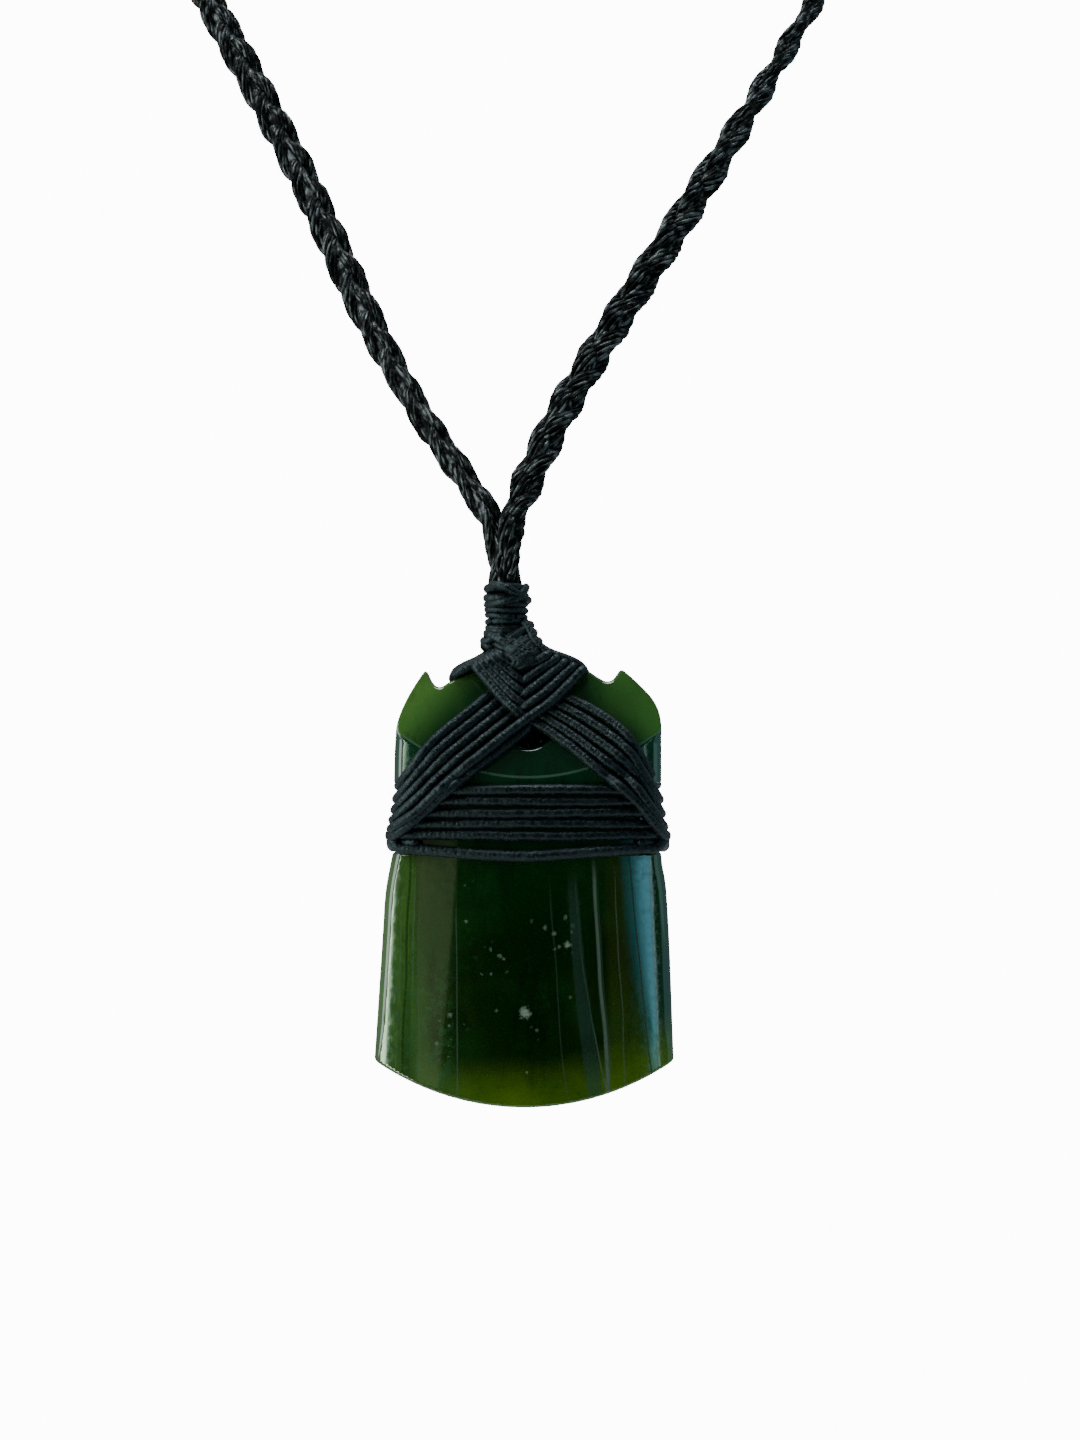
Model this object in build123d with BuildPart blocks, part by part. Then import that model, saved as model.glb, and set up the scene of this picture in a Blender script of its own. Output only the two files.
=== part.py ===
from build123d import *
import math
import os

# A greenstone adze blade lashed with waxed cord and hung from a plaited cord necklace.
# Millimetres. The front faces -Y, +X is to the right seen from the front, +Z is up.
# The origin is at the back of the necklace, where it lies on the nape.
# Places on the stone are given as (across, up) from the centre of its hole.

os.makedirs("parts", exist_ok=True)

# Clearances
CORD_GAP = 0.1            # between a cord and what it lies on
SEAT_GAP = 0.35           # between the ends of the plait and the bundle they meet

# Stone blade, seen from the front
SHOULDER_WIDTH = 26.6     # across the blade above and inside its side notches
SHOULDER_DROP = 2.2       # where the round shoulders start, below the hole
SHOULDER_LEAN = 0.08      # how far the shoulder arcs lean in where they start
FLARE_START = 14.3        # where the sides start to flare out, below the side notches
FLARE_DROP = 18.2         # where the sides turn from flaring out to nearly straight
FLARE_WIDTH = 28.2
FLARE_SHIFT = -0.2
BLADE_DROP = 34.2         # from the hole down to the corners of the cutting edge
EDGE_WIDTH = 29.6
EDGE_SHIFT = -0.4         # the cutting edge is a little to the left of the hole
EDGE_BOW = 4.3            # how far the middle of the cutting edge hangs below its corners
HORN_RISE = 4.8           # from the hole up to the two horns
HORN_SPAN = 19.8
HORN_SHIFT = -0.5
HORN_RADIUS = 0.5
LEFT_DIP_DEPTH = 1.65     # the dips beside the horns, below the horns
RIGHT_DIP_DEPTH = 1.15
DIP_SPAN = 17.0
DIP_RADIUS = 0.6
CREST_SPAN = 12.4         # the arched top between the dips, under the lashing
CREST_FOOT_DROP = 0.4
CREST_RISE = 5.1
CREST_RADIUS = 2.0
HOLE_DIAMETER = 6.0

# Stone blade, seen from the side and from above
STONE_THICKNESS = 9.0
FRONT_RADIUS = 40.0       # the front face bulges, round an upright axis
FRONT_CORNER = 1.3
BACK_CORNER = 0.9
FACET_ANGLE = 26.0        # the bevelled facet at the top of the front, in degrees
FACET_SIDE_DROP = 1.18    # where the facet meets the sides of the blade, below the hole
BEVEL_HEIGHT = 10.0       # the adze bevel at the foot of the back
EDGE_THICKNESS = 0.9
RIM_RADIUS = 0.35

# Side notches that hold the lashing
NOTCH_DROP = 6.5          # from the hole down to the top of each notch
NOTCH_HEIGHT = 7.2
NOTCH_TOP_WIDTH = 22.6    # across the waist at the top of the notches
NOTCH_FOOT_WIDTH = 24.3
NOTCH_CORNER = 1.2

# Level turns of cord round the waist
CORD_DIAMETER = 0.98
WRAP_TOP_DROP = 7.1
WRAP_PITCH = 1.12
WRAP_COUNT = 5
LAST_WRAP_DROP = 13.05    # one more turn, set apart below the others

# Slanting cords from the notches up to the crown
BAND_DIAMETER = 0.78
BAND_SIDES = 5            # faces round each slanting cord
BAND_STEPS = 7            # sections along a run on the front or on the back
BAND_GAP = 0.33           # between a slanting cord and what it lies on
BAND_CORNER = 2.9         # radius of a cord's middle line where it turns round the blade's side
CORNER_STEPS = 4
BAND_COUNT = 4            # cords on each side, apart from the last turn
NOTCH_PITCH = 1.5         # from cord to cord in the side notches, up and down
NOTCH_SLOPE = 1.15        # how steeply the cords come down to the notches
BEND_REACH = 3.2          # how far from the notches the cords start to steepen
BAND_TOP_DROP = 7.15
LIFT_START = 3.9          # the slanting cords rise over the level turns from here down
LIFT_END = 5.9
# Where the first and the last cord of each band start by the crown
LEFT_STARTS = ((-4.15, 2.9), (-1.5, 0.25))
RIGHT_STARTS = ((3.5, 1.9), (1.0, -0.6))
LAST_TOP_RISE = 5.6       # where the last left cord crosses the top of the blade
LAST_TOP_SHIFT = 6.2

# Crossed cords over the top of the blade
CROWN_LAYER = 2.1         # thickness of the crossed cords on the stone
CROWN_ROUNDING = 0.5
APEX = (-0.9, 0.15)       # lowest point of the crossed cords, by the hole
CROWN_LEFT = (-5.1, 4.3)
CROWN_FLAP = (-7.6, 4.3)
CROWN_RIGHT = (5.3, 5.3)
CROWN_RISE = 7.6          # the crown's flat top, above the hole
CROWN_SOCKET = 1.4        # how deep the bundle stands in the crown

# Whipping and the bundle inside it
NECK_SHIFT = -2.2         # the bundle's middle, across from the hole
NECK_BACK = 2.4           # the bundle's middle, behind the middle of the stone
HITCH_RISE = 13.0         # the whipping's thick top turn, above the hole
BUNDLE_DIAMETER = 2.6     # inside the whipping
FORK_DIAMETER = 3.2       # above the whipping
FORK_FLARE = 1.2          # height over which the bundle widens
BRANCH_DIAMETER = 2.5     # the two branches of the fork
BRANCH_DROP = 1.6         # where the branches start, below the fork
WHIP_DIAMETER = 0.95
WHIP_PITCH = 1.08
WHIP_COUNT = 4
HITCH_HEIGHT = 1.7        # the thick top turn
HITCH_DEPTH = 1.05

# Necklace
FORK_RISE = 19.3          # where the two ends of the plait meet, above the hole
LOOP_TILT = 33.0          # the necklace's plane leans back from the upright, in degrees
STRAND_DIAMETER = 0.84
STRAND_SIDES = 5
PLAIT_PERIOD = 14.0       # length in which a strand goes across and back
PLAIT_SWING = 0.98        # how far a strand's middle moves to each side
PLAIT_DEPTH = 0.74        # how far it moves to the front and back
PLAIT_SECTIONS = 9        # sections in each period
STRAND_COUNT = 3
# Chosen points of the necklace's route, in its own plane: across, along the plane up from
# the fork, and how far the plait is rolled over there, in degrees.
ROUTE = [
    (-2.9, 3.6, 0),
    (-8.5, 13.6, 5),
    (-14.4, 26.4, 0),
    (-22.6, 47.6, -5),
    (-33.7, 72.9, 0),
    (-50.5, 110.0, 20),
    (-66.5, 147.5, 40),
    (-74.8, 179.0, 60),
    (-68.0, 213.0, 90),
    (-43.0, 243.0, 90),
    (0.0, 255.5, 90),
    (43.0, 243.0, 90),
    (68.0, 213.0, 90),
    (74.8, 179.0, 90),
    (66.5, 147.5, 90),
    (50.5, 110.0, 80),
    (34.2, 72.9, 70),
    (26.0, 55.6, 50),
    (17.8, 39.1, 25),
    (10.6, 25.0, 10),
    (5.2, 13.6, 0),
    (1.5, 3.6, 0),
]

# Frames: the necklace's plane and the stone's front, side and level planes
tilt = math.radians(LOOP_TILT)
loop_up = Vector(0, math.sin(tilt), math.cos(tilt))
loop_height = max(along for across, along, roll in ROUTE)
fork_point = loop_up * -loop_height
hole_x = -NECK_SHIFT
hole_y = fork_point.Y - NECK_BACK
hole_z = fork_point.Z - FORK_RISE
hole_centre = Vector(hole_x, hole_y, hole_z)
front_plane = Plane(origin=hole_centre, x_dir=(1, 0, 0), z_dir=(0, -1, 0))
side_plane = Plane(origin=hole_centre, x_dir=(0, 1, 0), z_dir=(1, 0, 0))
level_plane = Plane(origin=hole_centre, x_dir=(1, 0, 0), z_dir=(0, 0, 1))
half_stone = STONE_THICKNESS / 2
facet_slope = math.tan(math.radians(FACET_ANGLE))
stone_drop = BLADE_DROP + EDGE_BOW


def bulge(across, lift=0.0):
    """How far back the bulging front lies at this place across, or a line lifted off it."""
    radius = FRONT_RADIUS + lift
    return radius - half_stone - lift - math.sqrt(radius ** 2 - across ** 2)


# The lowest point of the facet, below the hole
facet_foot = FACET_SIDE_DROP + (bulge(SHOULDER_WIDTH / 2) + half_stone) / facet_slope


def facet_depth(up):
    """How far back the top facet lies at this height."""
    return (up + facet_foot) * facet_slope - half_stone


def waist_half(up):
    """Half the blade's width between the side notches at this height."""
    share = (-NOTCH_DROP - up) / NOTCH_HEIGHT
    return (NOTCH_TOP_WIDTH + (NOTCH_FOOT_WIDTH - NOTCH_TOP_WIDTH) * share) / 2


def mix(start, end, share):
    """The value or the place this share of the way from start to end."""
    if isinstance(start, tuple):
        return tuple(a + (b - a) * share for a, b in zip(start, end))
    return start + (end - start) * share


def stone_sections():
    """Rows of height, width and shift for the level sections of the blade."""
    flare = (EDGE_WIDTH - FLARE_WIDTH) / (BLADE_DROP - FLARE_DROP)
    foot = stone_drop + STONE_THICKNESS
    return [
        (HORN_RISE + STONE_THICKNESS, SHOULDER_WIDTH, 0.0),
        (-FLARE_START, SHOULDER_WIDTH, 0.0),
        (-FLARE_DROP, FLARE_WIDTH, FLARE_SHIFT),
        (-foot, FLARE_WIDTH + flare * (foot - FLARE_DROP), EDGE_SHIFT),
    ]


# Stone blade
corner_left = (EDGE_SHIFT - EDGE_WIDTH / 2, -BLADE_DROP)
corner_right = (EDGE_SHIFT + EDGE_WIDTH / 2, -BLADE_DROP)
shoulder_left = (-SHOULDER_WIDTH / 2, -SHOULDER_DROP)
shoulder_right = (SHOULDER_WIDTH / 2, -SHOULDER_DROP)
horn_left = (HORN_SHIFT - HORN_SPAN / 2, HORN_RISE)
horn_right = (HORN_SHIFT + HORN_SPAN / 2, HORN_RISE)
dip_left = (HORN_SHIFT - DIP_SPAN / 2, HORN_RISE - LEFT_DIP_DEPTH)
dip_right = (HORN_SHIFT + DIP_SPAN / 2, HORN_RISE - RIGHT_DIP_DEPTH)
crest_left = (HORN_SHIFT - CREST_SPAN / 2, HORN_RISE - CREST_FOOT_DROP)
crest_right = (HORN_SHIFT + CREST_SPAN / 2, HORN_RISE)
beyond = EDGE_WIDTH

with BuildPart() as stone_blade:
    for height, width, shift in stone_sections():
        left = shift - width / 2
        right = shift + width / 2
        with BuildSketch(level_plane.offset(height)) as section:
            with BuildLine():
                ThreePointArc((left, bulge(left)), (0, -half_stone), (right, bulge(right)))
                Polyline((right, bulge(right)), (right, half_stone), (left, half_stone), (left, bulge(left)))
            make_face()
            corners = section.vertices().sort_by(Axis.Y)
            fillet(corners[2:], BACK_CORNER)
            fillet(corners[:2], FRONT_CORNER)
    loft(ruled=True)
    with BuildSketch(front_plane.offset(-STONE_THICKNESS)) as outline:
        with BuildLine():
            ThreePointArc(corner_left, (EDGE_SHIFT, -stone_drop), corner_right)
            Polyline(corner_right, (beyond, -BLADE_DROP), (beyond, -SHOULDER_DROP), shoulder_right)
            TangentArc(shoulder_right, horn_right, tangent=(-SHOULDER_LEAN, 1))
            Line(horn_right, dip_right)
            Line(dip_right, crest_right)
            ThreePointArc(crest_right, (HORN_SHIFT, CREST_RISE), crest_left)
            Line(crest_left, dip_left)
            Line(dip_left, horn_left)
            TangentArc(shoulder_left, horn_left, tangent=(SHOULDER_LEAN, 1))
            Polyline(shoulder_left, (-beyond, -SHOULDER_DROP), (-beyond, -BLADE_DROP), corner_left)
        make_face()
        for place, radius in (
            (horn_left, HORN_RADIUS),
            (horn_right, HORN_RADIUS),
            (dip_left, DIP_RADIUS),
            (dip_right, DIP_RADIUS),
            (crest_left, CREST_RADIUS),
            (crest_right, CREST_RADIUS),
        ):
            fillet(outline.vertices().sort_by_distance(place)[0], radius)
    extrude(amount=STONE_THICKNESS * 2, mode=Mode.INTERSECT)
    profile_top = HORN_RISE + half_stone
    edge_tip = (EDGE_THICKNESS - half_stone, -stone_drop)
    with BuildSketch(side_plane.offset(-EDGE_WIDTH)):
        with BuildLine():
            Polyline(
                edge_tip,
                (edge_tip[0], -stone_drop - half_stone),
                (-STONE_THICKNESS, -stone_drop - half_stone),
                (-STONE_THICKNESS, -facet_foot),
                (-half_stone, -facet_foot),
                (facet_depth(profile_top), profile_top),
                (half_stone, profile_top),
                (half_stone, BEVEL_HEIGHT - stone_drop),
                edge_tip,
            )
        make_face()
    extrude(amount=EDGE_WIDTH * 2, mode=Mode.INTERSECT)
    with BuildSketch(front_plane.offset(-STONE_THICKNESS)):
        Circle(HOLE_DIAMETER / 2)
    extrude(amount=STONE_THICKNESS * 2, mode=Mode.SUBTRACT)
    rim = stone_blade.edges().filter_by(lambda edge: edge.center().Z > hole_z + RIM_RADIUS * 3)
    rim = rim.filter_by(lambda edge: abs(edge.tangent_at(0.5).Y) < 0.8)
    fillet(rim, RIM_RADIUS)
    for side in (-1, 1):
        with BuildSketch(front_plane.offset(-STONE_THICKNESS)):
            with BuildLine():
                Polyline(
                    (side * NOTCH_TOP_WIDTH / 2, -NOTCH_DROP),
                    (side * beyond, -NOTCH_DROP),
                    (side * beyond, -NOTCH_DROP - NOTCH_HEIGHT),
                    (side * NOTCH_FOOT_WIDTH / 2, -NOTCH_DROP - NOTCH_HEIGHT),
                    close=True,
                )
            make_face()
        extrude(amount=STONE_THICKNESS * 2, mode=Mode.SUBTRACT)
    notch_top = hole_z - NOTCH_DROP
    notch_foot = notch_top - NOTCH_HEIGHT
    notch_edges = stone_blade.edges().filter_by(lambda edge: notch_foot < edge.center().Z < notch_top)
    notch_edges = notch_edges.filter_by(lambda edge: NOTCH_HEIGHT * 0.95 < edge.length < NOTCH_HEIGHT * 1.1)
    notch_edges = notch_edges.filter_by(lambda edge: abs(edge.center().X - hole_x) < NOTCH_FOOT_WIDTH / 2)
    fillet(notch_edges, NOTCH_CORNER)
stone_blade.part.label = "stone_blade"
export_step(stone_blade.part, "parts/stone_blade.step")

# Level turns round the waist
wrap_drops = [WRAP_TOP_DROP + turn * WRAP_PITCH for turn in range(WRAP_COUNT)] + [LAST_WRAP_DROP]
wrap_offset = CORD_GAP + CORD_DIAMETER / 2
wrap_corner = NOTCH_CORNER + wrap_offset

with BuildPart() as waist_wraps:
    for drop in wrap_drops:
        reach = waist_half(-drop) + wrap_offset
        wrap_back = half_stone + wrap_offset
        with BuildSketch(level_plane.offset(-drop), mode=Mode.PRIVATE) as turn_shape:
            with BuildLine():
                ThreePointArc(
                    (-reach, bulge(reach, wrap_offset)),
                    (0, -half_stone - wrap_offset),
                    (reach, bulge(reach, wrap_offset)),
                )
                Polyline(
                    (reach, bulge(reach, wrap_offset)),
                    (reach, wrap_back),
                    (-reach, wrap_back),
                    (-reach, bulge(reach, wrap_offset)),
                )
            make_face()
            fillet(turn_shape.vertices(), wrap_corner)
        turn_path = turn_shape.sketch.face().outer_wire()
        with BuildSketch(Plane(origin=turn_path @ 0, z_dir=turn_path % 0)):
            Circle(CORD_DIAMETER / 2)
        sweep(path=turn_path)
waist_wraps.part.label = "waist_wraps"
export_step(waist_wraps.part, "parts/waist_wraps.step")


def faceted_cord(places, across, diameter, sides):
    """A cord of flat faces whose middle line runs through a list of places."""
    with BuildPart() as cord:
        for index, place in enumerate(places):
            before = places[max(index - 1, 0)]
            after = places[min(index + 1, len(places) - 1)]
            along = (after - before).normalized()
            with BuildSketch(Plane(origin=place, x_dir=across.cross(along), z_dir=along)):
                RegularPolygon(diameter / 2, sides)
        loft(ruled=True)
    return cord.part


# Slanting cords
def band_lift(up):
    """How far the slanting cords are raised over the level turns at this height."""
    share = min(max((-up - LIFT_START) / (LIFT_END - LIFT_START), 0.0), 1.0)
    return (CORD_DIAMETER + CORD_GAP) * share * share * (3 - 2 * share)


def band_run(start, drop, side):
    """A slanting cord's places across and up, from its start by the crown to the blade's side."""
    corner_middle = waist_half(-drop) + side_offset - BAND_CORNER
    end = (side * corner_middle, BAND_CORNER * NOTCH_SLOPE - drop)
    bend = (end[0] - side * BEND_REACH, end[1] + BEND_REACH * NOTCH_SLOPE)
    run = []
    for step in range(BAND_STEPS):
        share = step / BAND_STEPS
        run.append(mix(mix(start, bend, share), mix(bend, end, share), share))
    return run


def band_places(run, drop, side):
    """A slanting cord's middle line, down the front, round the side notch and up the back."""
    corner_middle = waist_half(-drop) + side_offset - BAND_CORNER
    front = []
    back = []
    for across, up in run:
        surface = max(bulge(across), facet_depth(up))
        front.append((across, surface - band_offset - band_lift(up), up))
        back.append((across, half_stone + band_offset + band_lift(up), up))
    for step in range(CORNER_STEPS):
        turn = math.radians(90) * step / (CORNER_STEPS - 1)
        across = side * (corner_middle + BAND_CORNER * math.sin(turn))
        up = BAND_CORNER * NOTCH_SLOPE * (1 - math.sin(turn)) - drop
        inset = BAND_CORNER * (1 - math.cos(turn))
        front.append((across, bulge(corner_middle) - band_offset - band_lift(up) + inset, up))
        back.append((across, half_stone + band_offset + band_lift(up) - inset, up))
    return front + back[::-1]


def add_band(starts, side):
    """Add one side's slanting cords to the part being built."""
    for index in range(BAND_COUNT):
        drop = BAND_TOP_DROP + index * NOTCH_PITCH
        run = band_run(mix(*starts, index / (BAND_COUNT - 1)), drop, side)
        places = [hole_centre + Vector(*place) for place in band_places(run, drop, side)]
        add(faceted_cord(places, Vector(0, 0, 1), BAND_DIAMETER, BAND_SIDES))


band_offset = BAND_GAP + BAND_DIAMETER / 2
side_offset = CORD_GAP + CORD_DIAMETER + band_offset
last_drop = BAND_TOP_DROP + BAND_COUNT * NOTCH_PITCH
edge_heading = (Vector(*CROWN_RIGHT) - Vector(*APEX)).normalized()
edge_offset = Vector(edge_heading.Y, -edge_heading.X) * band_offset
last_high = Vector(*CROWN_RIGHT) + edge_offset
last_low = Vector(*APEX) + edge_offset
last_run = [(last_high.X, last_high.Y)]
last_run += band_run((last_low.X, last_low.Y), last_drop, -1)
last_places = band_places(last_run, last_drop, -1)
top_front = facet_depth(LAST_TOP_RISE)
last_places.insert(0, (LAST_TOP_SHIFT, top_front, LAST_TOP_RISE))
last_places.insert(0, (LAST_TOP_SHIFT, (top_front + half_stone - BAND_GAP) / 2, LAST_TOP_RISE))
last_places.append((LAST_TOP_SHIFT, half_stone, LAST_TOP_RISE))
last_places.append((LAST_TOP_SHIFT, (top_front + half_stone + BAND_GAP) / 2, LAST_TOP_RISE))

with BuildPart() as left_lashing:
    add_band(LEFT_STARTS, -1)
    places = [hole_centre + Vector(*place) for place in last_places]
    add(faceted_cord(places, Vector(0, 0, 1), BAND_DIAMETER, BAND_SIDES))
left_lashing.part.label = "left_lashing"
export_step(left_lashing.part, "parts/left_lashing.step")

with BuildPart() as right_lashing:
    add_band(RIGHT_STARTS, 1)
right_lashing.part.label = "right_lashing"
export_step(right_lashing.part, "parts/right_lashing.step")

# Crossed cords over the top of the blade, with a seat for the stone and a socket for the bundle
neck_half = BUNDLE_DIAMETER / 2 + CORD_GAP + WHIP_DIAMETER
layer_run = CROWN_LAYER / math.cos(math.radians(FACET_ANGLE))
crown_foot = APEX[1] - CROWN_LAYER
seat_run = CORD_GAP / math.cos(math.radians(FACET_ANGLE))

with BuildPart() as crown_seat:
    with BuildSketch(front_plane.offset(-STONE_THICKNESS)):
        with BuildLine():
            Polyline(
                (crest_right[0], crest_right[1] + CORD_GAP),
                (dip_right[0], dip_right[1] + CORD_GAP),
                (dip_right[0], crown_foot - CROWN_LAYER),
                (dip_left[0], crown_foot - CROWN_LAYER),
                (dip_left[0], dip_left[1] + CORD_GAP),
                (crest_left[0], crest_left[1] + CORD_GAP),
            )
            ThreePointArc(
                (crest_left[0], crest_left[1] + CORD_GAP),
                (HORN_SHIFT, CREST_RISE + CORD_GAP),
                (crest_right[0], crest_right[1] + CORD_GAP),
            )
        make_face()
    extrude(amount=STONE_THICKNESS * 2)
    with BuildSketch(side_plane.offset(-EDGE_WIDTH)):
        with BuildLine():
            Polyline(
                (facet_depth(-half_stone) - seat_run, -half_stone),
                (facet_depth(crown_foot + STONE_THICKNESS) - seat_run, crown_foot + STONE_THICKNESS),
                (half_stone + CORD_GAP, crown_foot + STONE_THICKNESS),
                (half_stone + CORD_GAP, -half_stone),
                close=True,
            )
        make_face()
    extrude(amount=EDGE_WIDTH * 2, mode=Mode.INTERSECT)

with BuildPart() as crown_lashing:
    with BuildSketch(front_plane.offset(-STONE_THICKNESS)):
        with BuildLine():
            Polyline(
                APEX,
                CROWN_RIGHT,
                (CROWN_RIGHT[0] - CROWN_ROUNDING, CROWN_RIGHT[1] + CROWN_ROUNDING),
                (NECK_SHIFT + neck_half * 1.6, CROWN_RISE - CROWN_ROUNDING * 1.6),
                (NECK_SHIFT + neck_half, CROWN_RISE),
                (NECK_SHIFT - neck_half, CROWN_RISE),
                (NECK_SHIFT - neck_half * 1.1, CROWN_RISE - CROWN_ROUNDING * 2),
                (CROWN_FLAP[0] + CROWN_ROUNDING, CROWN_FLAP[1] + CROWN_ROUNDING * 2),
                CROWN_FLAP,
                CROWN_LEFT,
                close=True,
            )
        make_face()
    extrude(amount=STONE_THICKNESS * 2)
    with BuildSketch(side_plane.offset(-EDGE_WIDTH)):
        with BuildLine():
            Polyline(
                (facet_depth(crown_foot) - layer_run, crown_foot),
                (facet_depth(CREST_RISE) - layer_run, CREST_RISE),
                (NECK_BACK - neck_half, CROWN_RISE),
                (NECK_BACK + neck_half, CROWN_RISE),
                (half_stone + CROWN_LAYER, CREST_RISE - CREST_RADIUS),
                (half_stone + CROWN_LAYER, crown_foot),
                close=True,
            )
        make_face()
    extrude(amount=EDGE_WIDTH * 2, mode=Mode.INTERSECT)
    fillet(crown_lashing.edges().filter_by(Axis.Y), CROWN_ROUNDING * 0.6)
    add(crown_seat.part, mode=Mode.SUBTRACT)
    with BuildSketch(level_plane.offset(CROWN_RISE)):
        with Locations((NECK_SHIFT, NECK_BACK)):
            Circle(BUNDLE_DIAMETER / 2 + CORD_GAP)
    extrude(amount=-CROWN_SOCKET, mode=Mode.SUBTRACT)
crown_lashing.part.label = "crown_lashing"
export_step(crown_lashing.part, "parts/crown_lashing.step")

# Whipping round the bundle
hitch_reach = BUNDLE_DIAMETER / 2 + CORD_GAP + HITCH_DEPTH / 2
whip_reach = BUNDLE_DIAMETER / 2 + CORD_GAP + WHIP_DIAMETER / 2
whip_top = HITCH_RISE - HITCH_HEIGHT / 2 - CORD_GAP - WHIP_DIAMETER / 2

with BuildPart() as neck_whipping:
    for turn in range(WHIP_COUNT):
        with Locations(hole_centre + Vector(NECK_SHIFT, NECK_BACK, whip_top - turn * WHIP_PITCH)):
            Torus(whip_reach, WHIP_DIAMETER / 2)
neck_whipping.part.label = "neck_whipping"
export_step(neck_whipping.part, "parts/neck_whipping.step")

hitch_middle = hole_centre + Vector(NECK_SHIFT, NECK_BACK, HITCH_RISE)

with BuildPart() as whipping_hitch:
    with BuildSketch(Plane(origin=hitch_middle, x_dir=(1, 0, 0), z_dir=(0, -1, 0))):
        with Locations((hitch_reach, 0)):
            Ellipse(HITCH_DEPTH / 2, HITCH_HEIGHT / 2)
    revolve(axis=Axis(hitch_middle, (0, 0, 1)))
whipping_hitch.part.label = "whipping_hitch"
export_step(whipping_hitch.part, "parts/whipping_hitch.step")

# The necklace's route and the frame that turns along it
loop_front = Vector(0, -math.cos(tilt), math.sin(tilt))
loop_plane = Plane(origin=fork_point, x_dir=(1, 0, 0), z_dir=loop_front)
with BuildLine(loop_plane) as route_line:
    route = Spline([(across, along) for across, along, roll in ROUTE])
chord_marks = [0.0]
for first, second in zip(ROUTE, ROUTE[1:]):
    chord_marks.append(chord_marks[-1] + math.dist(first[:2], second[:2]))


def roll_at(share):
    """How far the plait is rolled over at this share of its route, in radians."""
    mark = share * chord_marks[-1]
    for index in range(len(ROUTE) - 1):
        if mark <= chord_marks[index + 1]:
            step = (mark - chord_marks[index]) / (chord_marks[index + 1] - chord_marks[index])
            return math.radians(mix(ROUTE[index][2], ROUTE[index + 1][2], step))
    return math.radians(ROUTE[-1][2])


def strand_places(strand):
    """A strand's middle line, weaving across and back along the route."""
    count = round(route.length / PLAIT_PERIOD * PLAIT_SECTIONS)
    places = []
    for index in range(count + 1):
        share = index / count
        run = share * route.length
        turn = 2 * math.pi * (run / PLAIT_PERIOD + strand / STRAND_COUNT)
        along = route.tangent_at(run, position_mode=PositionMode.LENGTH)
        across = along.cross(loop_front)
        roll = roll_at(share)
        wide = across * math.cos(roll) + loop_front * math.sin(roll)
        deep = loop_front * math.cos(roll) - across * math.sin(roll)
        middle = route.position_at(run, position_mode=PositionMode.LENGTH)
        places.append(middle + wide * PLAIT_SWING * math.cos(turn) + deep * PLAIT_DEPTH * math.sin(2 * turn))
    return places


for strand in range(STRAND_COUNT):
    name = f"plait_strand_{strand + 1}"
    with BuildPart() as plait_strand:
        add(faceted_cord(strand_places(strand), loop_front, STRAND_DIAMETER, STRAND_SIDES))
    plait_strand.part.label = name
    export_step(plait_strand.part, f"parts/{name}.step")

# The bundle where the two ends of the plait merge, with a branch up to each
bundle_foot = CROWN_RISE - CROWN_SOCKET + CORD_GAP
flare_foot = HITCH_RISE + HITCH_HEIGHT / 2 + CORD_GAP
stem_rows = [
    (bundle_foot, BUNDLE_DIAMETER),
    (flare_foot, BUNDLE_DIAMETER),
    (flare_foot + FORK_FLARE, FORK_DIAMETER),
    (FORK_RISE, FORK_DIAMETER),
]

with BuildPart() as fork_bundle:
    for height, width in stem_rows:
        with BuildSketch(level_plane.offset(height)):
            with Locations((NECK_SHIFT, NECK_BACK)):
                Circle(width / 2)
    loft(ruled=True)
    for run, outward in ((0.0, 1), (route.length, -1)):
        heading = route.tangent_at(run, position_mode=PositionMode.LENGTH) * outward
        plait_end = route.position_at(run, position_mode=PositionMode.LENGTH)
        shift = (FORK_DIAMETER - BRANCH_DIAMETER) / 2 * outward
        with BuildSketch(level_plane.offset(FORK_RISE - BRANCH_DROP)):
            with Locations((NECK_SHIFT - shift, NECK_BACK)):
                Circle(BRANCH_DIAMETER / 2)
        with BuildSketch(Plane(origin=plait_end - heading * SEAT_GAP, x_dir=(1, 0, 0), z_dir=heading)):
            Circle(BRANCH_DIAMETER / 2)
        loft(ruled=True)
fork_bundle.part.label = "fork_bundle"
export_step(fork_bundle.part, "parts/fork_bundle.step")
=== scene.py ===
import math

import bpy
import numpy as np
from mathutils import Matrix


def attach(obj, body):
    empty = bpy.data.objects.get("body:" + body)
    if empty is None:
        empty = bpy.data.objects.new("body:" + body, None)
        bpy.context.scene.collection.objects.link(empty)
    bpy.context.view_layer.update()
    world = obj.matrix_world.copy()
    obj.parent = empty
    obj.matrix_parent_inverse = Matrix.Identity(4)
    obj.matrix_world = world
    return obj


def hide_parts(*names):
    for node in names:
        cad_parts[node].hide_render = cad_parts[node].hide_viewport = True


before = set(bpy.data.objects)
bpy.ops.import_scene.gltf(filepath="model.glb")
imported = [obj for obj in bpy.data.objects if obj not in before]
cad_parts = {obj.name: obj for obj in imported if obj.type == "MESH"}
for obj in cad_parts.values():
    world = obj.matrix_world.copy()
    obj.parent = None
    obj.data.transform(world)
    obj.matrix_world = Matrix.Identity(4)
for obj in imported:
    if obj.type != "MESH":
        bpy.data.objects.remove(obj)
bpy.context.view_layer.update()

MM = 0.001

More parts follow.
